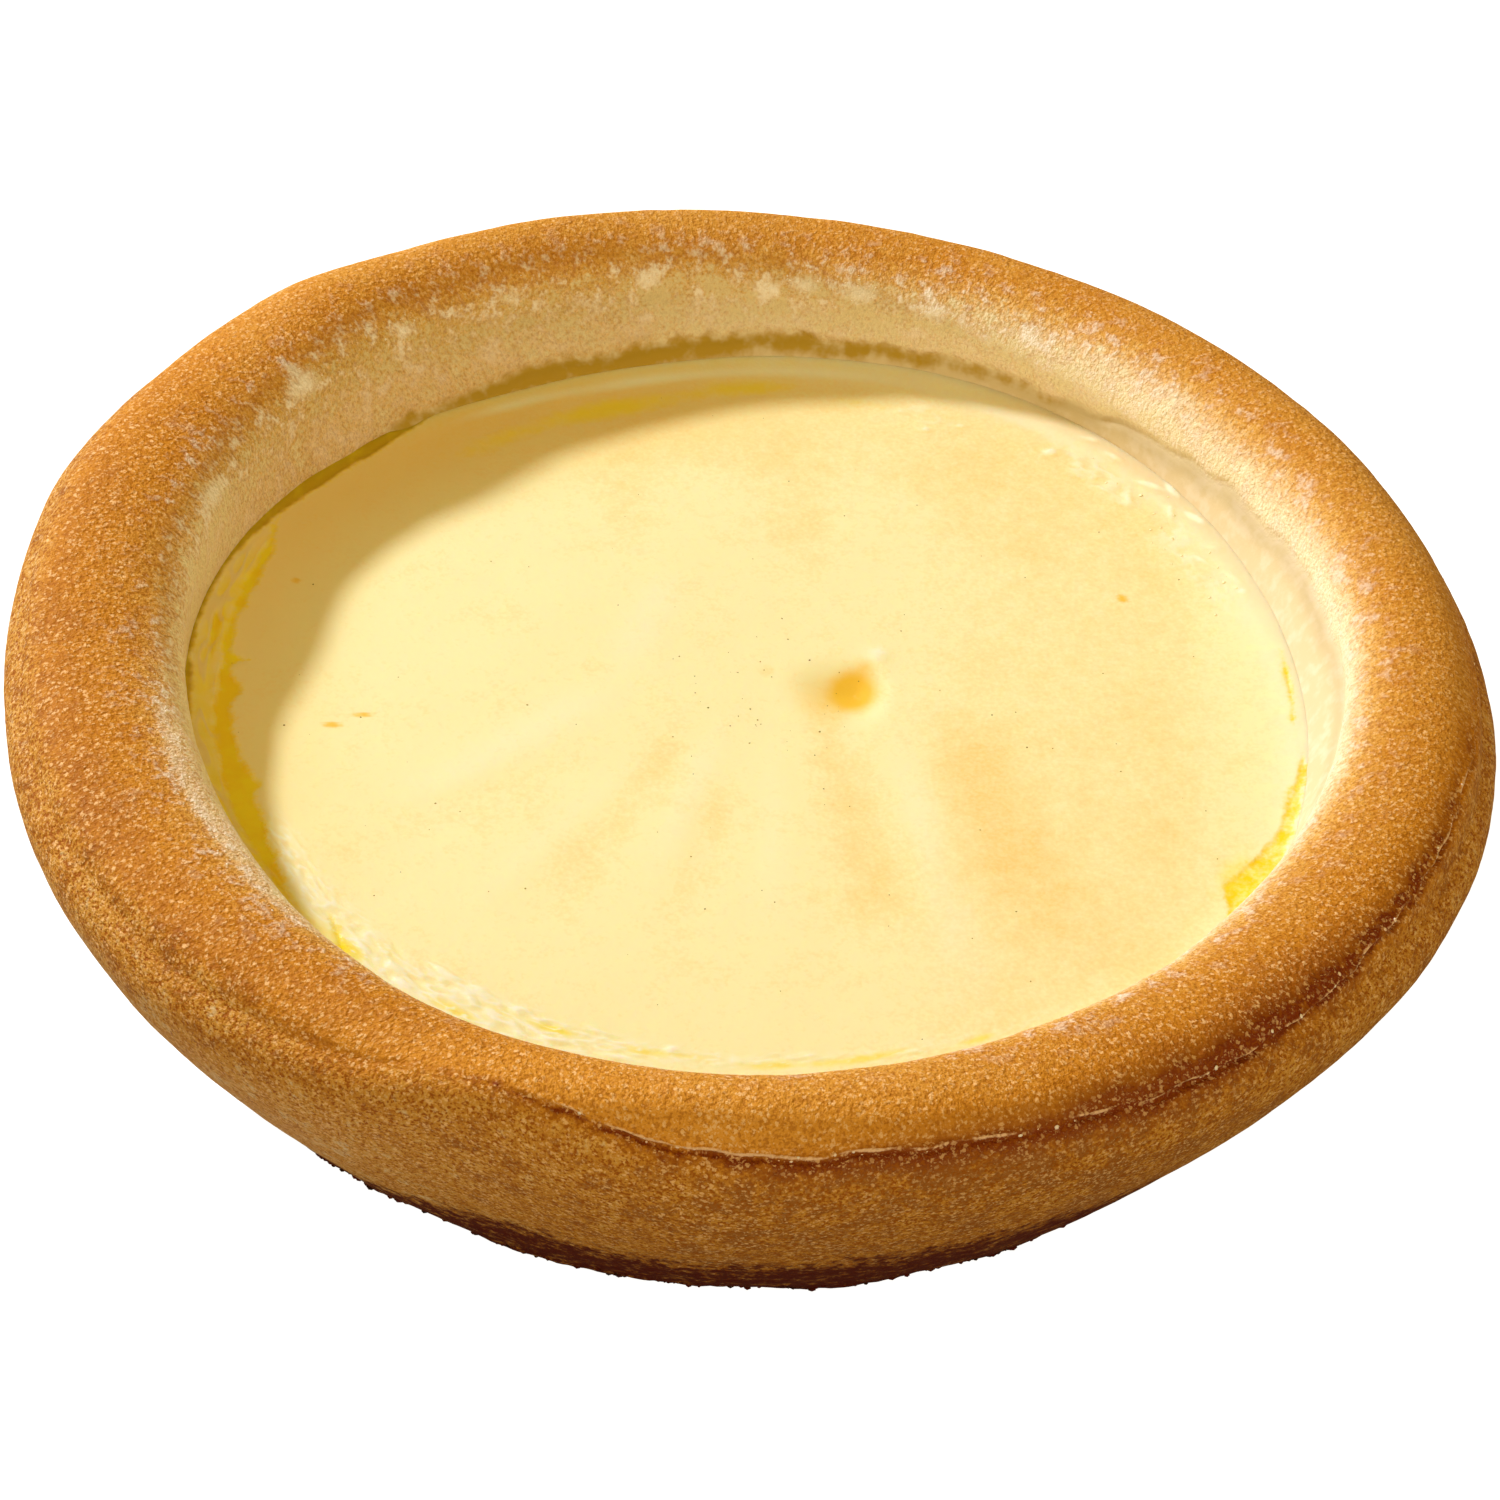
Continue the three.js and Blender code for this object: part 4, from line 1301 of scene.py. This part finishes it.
def dough_material(paints):
    """Crust from pale dough to burnt, with pits, blisters and painted glints, a torn edge, flour, dried
    custard, painted light and shade.
    """
    material, tree, shader = new_material("baked_dough")
    drawn = node(tree, "ShaderNodeAttribute", attribute_name="grain").outputs["Vector"]
    noises = mottle(tree, object_place(tree), DOUGH_NOISE) | mottle(tree, drawn, CRUST_NOISE)
    uneven = BLOTCH_LEAST
    for name, amount in BLOTCHES.items():
        uneven = calc(tree, "MULTIPLY_ADD", mask(tree, name), amount, uneven)
    blotches = times(tree, swings(tree, noises, BLOTCH_NOISE), uneven)
    patch = swings(tree, noises, BROWNING.patch)
    # Browning, with painted shade near the torn line and on the back of the inner side
    brown = total(tree, mask(tree, "browning"), mask(tree, "scorch", BROWNING.scorch), patch, blotches)
    crusty = times(tree, remap(tree, brown, SPECKS.brown, SPECKS.strength), mask(tree, "grainy"))
    fray = swings(tree, noises, SPECKS.fray)
    fine = total(tree, noises["blots"], fray, mask(tree, "frost", SPECKS.frost))
    depth = total(tree, mask(tree, "wall", SPECKS.wall_depth), SPECKS.depth)
    duller = total(tree, mask(tree, "wall", SPECKS.wall_pale), mask(tree, "dusk", SPECKS.dusk_pale))
    specks = times(tree, blisters(tree, drawn, noises, fine), total(tree, duller, SPECKS.pale), crusty)
    dried = blend(tree, mask(tree, "film_low"), paints["film"], paints["edge"])
    dried = blend(tree, cloud(tree, noises, FILM_CLOUD), dried, paints["flour"])
    coats = (
        # Painted shade on the back of the inner side
        (cover(tree, "olive"), paints["olive"]),
        # Painted light above the torn line
        (cover(tree, "ember"), paints["ember"]),
        (cover(tree, "wall"), paints["wall"]),
        (times(tree, remap(tree, fine, SPECKS.pit), depth, crusty), paints["pit"]),
        # Pale blisters and painted glints
        (specks, paints["blister"]),
        (times(tree, cloud(tree, noises, FOAM), mask(tree, "froth")), paints["flour"]),
        (times(tree, cloud(tree, noises, HAZE), mask(tree, "inner")), paints["flour"]),
        (cover(tree, "film"), dried),
        # Painted shade in the crease
        (cover(tree, "crease"), paints["crease"]),
    )
    colour = crust_ramp(tree, brown, paints)
    for share, paint in coats:
        colour = blend(tree, share, colour, paint)
    colour, _ = coated(tree, colour, DOUGH_COATS, noises, paints)
    gloss = DOUGH_GLOSS
    roughness = total(
        tree, times(tree, crusty, gloss.crust), swings(tree, noises, gloss.fray), gloss.roughness
    )
    bumps = times(tree, mixed(tree, noises, DOUGH_BUMPS), mask(tree, "grainy"))
    set_skin(tree, shader, colour, roughness, bumps, BUMP_HEIGHT.dough)
    set_values(shader, {"Specular IOR Level": 0.1})
    return material


def custard_material(paints):
    """Custard skin with peachy hollows, painted shade and highlights, amber where the skin is torn, and soft
    light inside it.
    """
    material, tree, shader = new_material("custard")
    noises = mottle(tree, object_place(tree), CUSTARD_NOISE)
    patch = remap(tree, noises["patch"], WARM.span, WARM.patch)
    warm = total(tree, mask(tree, "peach", WARM.mask), patch, swings(tree, noises, WARM.fray), WARM.lowered)
    # Warmer skin, with painted shade in the folds' valleys
    colour = blend(tree, warm, paints["skin"], paints["peach"])
    # Painted shade, partly deeper custard, near the shaded edge
    colour = blend(tree, cover(tree, "deep"), colour, paints["deep"])
    # Pale edges, painted light and painted highlights
    colour = blend(tree, cover(tree, "pale"), colour, paints["cream_and_highlight"])
    veil = blend(tree, remap(tree, mask(tree, "film"), VEIL_SPAN), paints["dough"], paints["edge"])
    yolk = blend(tree, cloud(tree, noises, YOLK_CLOUD), paints["inside"], paints["syrup"])
    colour, covers = coated(tree, colour, CUSTARD_COATS, noises, paints | {"veil": veil, "yolk": yolk})
    gloss = CUSTARD_GLOSS
    wet = total(tree, mask(tree, "moist", gloss.moist), times(tree, covers["bare"], gloss.bare))
    roughness = total(tree, wet, swings(tree, noises, gloss.fray), gloss.roughness)
    bumps = mixed(tree, noises, CUSTARD_BUMPS)
    set_skin(tree, shader, colour, roughness, bumps, BUMP_HEIGHT.custard, BUMP_HEIGHT.custard_share)
    set_values(shader, {
        "Subsurface Weight": 0.6, "Subsurface Radius": (1.0, 0.7, 0.4), "Subsurface Scale": 1.4 * MM,
        "Specular IOR Level": 0.3,
    })
    return material


def grain_material(name, colour, darker, roughness):
    """Loose grains whose colour varies from one spot to the next."""
    material, tree, shader = new_material(name)
    noises = mottle(tree, object_place(tree), LOOSE_NOISE)
    colour = blend(tree, remap(tree, noises["mottles"], LOOSE_SPAN), colour, darker)
    uneven = total(tree, swings(tree, noises, LOOSE_GLOSS), roughness)
    set_skin(tree, shader, colour, uneven, noises["grain"], BUMP_HEIGHT.loose)
    set_values(shader, {"Specular IOR Level": 0.15})
    return material


def named_attribute(tree, name):
    """A mask of the mesh, in a Geometry Nodes tree."""
    return node(tree, "GeometryNodeInputNamedAttribute", {"Name": name}, data_type="FLOAT").outputs[0]


def scaled(tree, vector, scale):
    """A vector times a number."""
    return node(tree, "ShaderNodeVectorMath", {0: vector, "Scale": scale}, operation="SCALE").outputs[0]


def finish_tree(tree, geometry, material, end):
    """Ends a tree with its instances made real and its material set."""
    real = node(tree, "GeometryNodeRealizeInstances", {0: geometry})
    dressed = node(tree, "GeometryNodeSetMaterial", {"Geometry": real.outputs[0], "Material": material})
    tree.links.new(dressed.outputs[0], end.inputs["Geometry"])
    return tree


def relief_tree():
    """Geometry Nodes tree that raises slow swells and small bumps along the normals of the dough."""
    sizes = (("Lump Size", 9.0), ("Lump Height", 0.3), ("Pore Size", 1.6), ("Pore Height", 0.1))
    inputs = [("Geometry", "Geometry", None)] + [(name, "Float", size * MM) for name, size in sizes]
    inputs += [("Seed", "Float", 1.0), ("Material", "Material", None)]
    tree, given, end = new_tree("Dough Relief", "GeometryNodeTree", inputs, [("Geometry", "Geometry")])
    heights = []
    for name, detail in (("Lump", 1.0), ("Pore", 2.0)):
        inputs = {"W": given["Seed"], "Detail": detail, "Roughness": 0.55}
        made = sized_noise(tree, given[f"{name} Size"], inputs, noise_dimensions="4D")
        heights.append(times(tree, calc(tree, "SUBTRACT", made, 0.5), given[f"{name} Height"]))
    lift = times(tree, total(tree, *heights), named_attribute(tree, "relief"))
    offset = scaled(tree, node(tree, "GeometryNodeInputNormal").outputs[0], lift)
    moved = node(tree, "GeometryNodeSetPosition", {"Geometry": given["Geometry"], "Offset": offset})
    return finish_tree(tree, moved.outputs[0], given["Material"], end)


def scatter_tree():
    """Geometry Nodes tree that strews uneven grains over a surface where a mask says so."""
    inputs = (
        ("Geometry", "Geometry", None), ("Where", "String", ""), ("Density", "Float", 1.0),
        ("Smallest", "Float", 0.1 * MM), ("Largest", "Float", 0.2 * MM), ("Flatness", "Float", 0.6),
        ("Seed", "Int", 1), ("Material", "Material", None),
    )
    tree, given, end = new_tree("Strewn Grains", "GeometryNodeTree", inputs, [("Geometry", "Geometry")])
    density = times(tree, named_attribute(tree, given["Where"]), given["Density"])
    inputs = {"Mesh": given["Geometry"], "Density": density, "Seed": given["Seed"]}
    spread = node(tree, "GeometryNodeDistributePointsOnFaces", inputs).outputs
    grain = node(tree, "GeometryNodeMeshIcoSphere", {"Radius": 1.0, "Subdivisions": 1})
    inputs = {2: given["Smallest"], 3: given["Largest"], "Seed": given["Seed"]}
    radius = node(tree, "FunctionNodeRandomValue", inputs, data_type="FLOAT").outputs[1]
    inputs = {0: LEAST_STRETCH, 1: MOST_STRETCH, "Seed": given["Seed"]}
    stretch = node(tree, "FunctionNodeRandomValue", inputs, data_type="FLOAT_VECTOR").outputs[0]
    flat = node(tree, "ShaderNodeCombineXYZ", {0: 1.0, 1: 1.0, 2: given["Flatness"]}).outputs[0]
    shape = node(tree, "ShaderNodeVectorMath", {0: stretch, 1: flat}, operation="MULTIPLY").outputs[0]
    inputs = {
        "Points": spread["Points"], "Instance": grain.outputs[0], "Rotation": spread["Rotation"],
        "Scale": scaled(tree, shape, radius),
    }
    strewn = node(tree, "GeometryNodeInstanceOnPoints", inputs)
    smooth = node(tree, "GeometryNodeSetShadeSmooth", {0: strewn.outputs[0]})
    return finish_tree(tree, smooth.outputs[0], given["Material"], end)


def placed(name, data):
    """A new object in the scene."""
    made = bpy.data.objects.new(name, data)
    bpy.context.scene.collection.objects.link(made)
    return made


def through_tree(name, mesh, tree, values):
    """A piece made by running a mesh through a Geometry Nodes tree, as a plain mesh."""
    piece = placed(name, mesh)
    modifier = piece.modifiers.new(tree.name, "NODES")
    modifier.node_group = tree
    sockets = {
        item.name: item.identifier
        for item in tree.interface.items_tree
        if item.item_type == "SOCKET" and item.in_out == "INPUT"
    }
    for key, value in values.items():
        modifier[sockets[key]] = value
    depsgraph = bpy.context.evaluated_depsgraph_get()
    made = bpy.data.meshes.new_from_object(
        piece.evaluated_get(depsgraph), preserve_all_data_layers=True, depsgraph=depsgraph
    )
    piece.modifiers.remove(modifier)
    piece.data = made
    made.name = name
    if not made.polygons:
        raise RuntimeError(f"{name} came out empty")
    return piece


def joins_tart(piece, slot, *nodes):
    """Makes a piece part of the tart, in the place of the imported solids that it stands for."""
    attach(piece, BODY)
    if nodes:
        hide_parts(*nodes)


def chosen_paints(context):
    """Colours that the user has set, by name."""
    colours = context.scene.vlaai_colours
    return {name: tuple(getattr(colours, name)) for name in VlaaiColours.__annotations__}


class VLAAI_OT_bake_case(bpy.types.Operator):
    """Build the case of baked dough."""

    bl_idname = "vlaai.bake_case"
    bl_label = "Bake Case"

    def execute(self, context):
        sizes = context.scene.vlaai_sizes
        material = dough_material(chosen_paints(context))
        values = {
            "Lump Size": sizes.lump_size, "Lump Height": sizes.lump_height, "Pore Size": sizes.pore_size,
            "Pore Height": sizes.pore_height, "Seed": RELIEF_SEED, "Material": material,
        }
        piece = through_tree("dough_crust", case_mesh(sizes), relief_tree(), values)
        joins_tart(piece, "baked_dough", "dough_case")
        return {"FINISHED"}


class VLAAI_OT_pour_custard(bpy.types.Operator):
    """Build the custard with its dimple and torn skin."""

    bl_idname = "vlaai.pour_custard"
    bl_label = "Pour Custard"

    def execute(self, context):
        mesh = custard_mesh(context.scene.vlaai_sizes)
        mesh.materials.append(custard_material(chosen_paints(context)))
        joins_tart(placed("custard", mesh), "custard", "custard_filling")
        return {"FINISHED"}


class VLAAI_OT_strew_grains(bpy.types.Operator):
    """Strew flour, crumbs, vanilla specks and moist beads."""

    bl_idname = "vlaai.strew_grains"
    bl_label = "Strew Grains"

    def execute(self, context):
        paints = chosen_paints(context)
        tree = scatter_tree()
        for seed, row in enumerate(GRAINS, GRAIN_SEED):
            name, ground, where, per_mm, size, share, flatness, looks, colour, darker, roughness = row
            largest = getattr(context.scene.vlaai_sizes, size) * share
            values = {
                "Where": where, "Density": per_mm / MM**2, "Smallest": largest * SMALLEST_SHARE,
                "Largest": largest, "Flatness": flatness, "Seed": seed,
                "Material": grain_material(looks, paints[colour], paints[darker], roughness),
            }
            piece = through_tree(name, bpy.data.objects[ground].data, tree, values)
            joins_tart(piece, SLOTS[ground])
        return {"FINISHED"}


def add_floor(glow):
    """A plain pale floor that gives off a little light, seen only by the camera."""
    half = FLOOR_SIZE / 2.0
    mesh = bpy.data.meshes.new("floor")
    corners = [(-half, -half, 0.0), (half, -half, 0.0), (half, half, 0.0), (-half, half, 0.0)]
    mesh.from_pydata(corners, [], [(0, 1, 2, 3)])
    material, tree, shader = new_material("floor")
    set_values(shader, {
        "Base Color": (FLOOR_GREY, FLOOR_GREY, FLOOR_GREY, 1.0), "Roughness": 0.9,
        "Specular IOR Level": 0.0, "Emission Color": (1.0, 1.0, 1.0, 1.0),
    })
    seen = node(tree, "ShaderNodeLightPath").outputs["Is Camera Ray"]
    tree.links.new(times(tree, seen, glow), shader["Emission Strength"])
    mesh.materials.append(material)
    placed("floor", mesh)


def add_lamp(name, place, power, colour=(1.0, 1.0, 1.0)):
    """A round soft light that faces the tart."""
    turn, rise = math.radians(place.azimuth), math.radians(place.elevation)
    towards = Vector((math.cos(rise) * math.cos(turn), math.cos(rise) * math.sin(turn), math.sin(rise)))
    data = bpy.data.lights.new(name, "AREA")
    data.shape = "DISK"
    data.size = place.size
    data.energy = power
    data.color = colour
    lamp = placed(name, data)
    lamp.location = towards * place.distance
    lamp.rotation_euler = towards.to_track_quat("Z", "Y").to_euler()


def add_sky(strength, colour):
    """Soft light from all round."""
    world = bpy.data.worlds.new("sky")
    world.use_nodes = True
    sky = world.node_tree.nodes["Background"].inputs
    set_values(sky, {"Color": (*colour, 1.0), "Strength": strength})
    bpy.context.scene.world = world


def add_camera():
    """The camera, at the angle of the photograph."""
    rise = math.radians(CAMERA.elevation)
    data = bpy.data.cameras.new("camera")
    data.lens = CAMERA.lens
    data.sensor_width = CAMERA.sensor
    data.clip_start = 10.0 * MM
    camera = placed("camera", data)
    away = Vector((0.0, -math.cos(rise), math.sin(rise))) * CAMERA.distance
    place = Matrix.Translation((Vector(CAMERA.aim) + away) * MM)
    tilt = Matrix.Rotation(math.pi / 2.0 - rise, 4, "X")
    roll = Matrix.Rotation(math.radians(CAMERA.roll), 4, "Z")
    camera.matrix_world = place @ tilt @ roll
    bpy.context.scene.camera = camera


class VLAAI_OT_set_stage(bpy.types.Operator):
    """Set the floor, the lights and the camera."""

    bl_idname = "vlaai.set_stage"
    bl_label = "Set Stage"

    def execute(self, context):
        stage = context.scene.vlaai_stage
        add_floor(stage.floor_glow)
        add_lamp("key", KEY, stage.key_power)
        add_lamp("front", FRONT, stage.front_power, stage.front_colour)
        add_sky(stage.fill_strength, stage.fill_colour)
        add_camera()
        context.scene.view_settings.view_transform = "Standard"
        context.scene.view_settings.look = "None"
        return {"FINISHED"}


class VLAAI_PT_panel(bpy.types.Panel):
    """Steps and settings of the tart."""

    bl_idname = "VLAAI_PT_panel"
    bl_label = "Mini Vlaai"
    bl_space_type = "VIEW_3D"
    bl_region_type = "UI"
    bl_category = "Vlaai"

    def draw(self, context):
        for operator in OPERATORS:
            self.layout.operator(operator.bl_idname)
        for group in SETTINGS:
            settings = getattr(context.scene, group)
            box = self.layout.box()
            for name in settings.__annotations__:
                box.prop(settings, name)


SETTINGS = {"vlaai_sizes": VlaaiSizes, "vlaai_colours": VlaaiColours, "vlaai_stage": VlaaiStage}
OPERATORS = (VLAAI_OT_set_stage, VLAAI_OT_bake_case, VLAAI_OT_pour_custard, VLAAI_OT_strew_grains)


def register():
    for cls in (*SETTINGS.values(), *OPERATORS, VLAAI_PT_panel):
        bpy.utils.register_class(cls)
    for name, cls in SETTINGS.items():
        setattr(bpy.types.Scene, name, bpy.props.PointerProperty(type=cls))


def unregister():
    for name in SETTINGS:
        delattr(bpy.types.Scene, name)
    for cls in reversed((*SETTINGS.values(), *OPERATORS, VLAAI_PT_panel)):
        bpy.utils.unregister_class(cls)


def main():
    """Builds the tart and its stage."""
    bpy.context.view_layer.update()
    register()
    bpy.ops.vlaai.set_stage()
    bpy.ops.vlaai.bake_case()
    bpy.ops.vlaai.pour_custard()
    bpy.ops.vlaai.strew_grains()


if __name__ == "__main__":
    main()
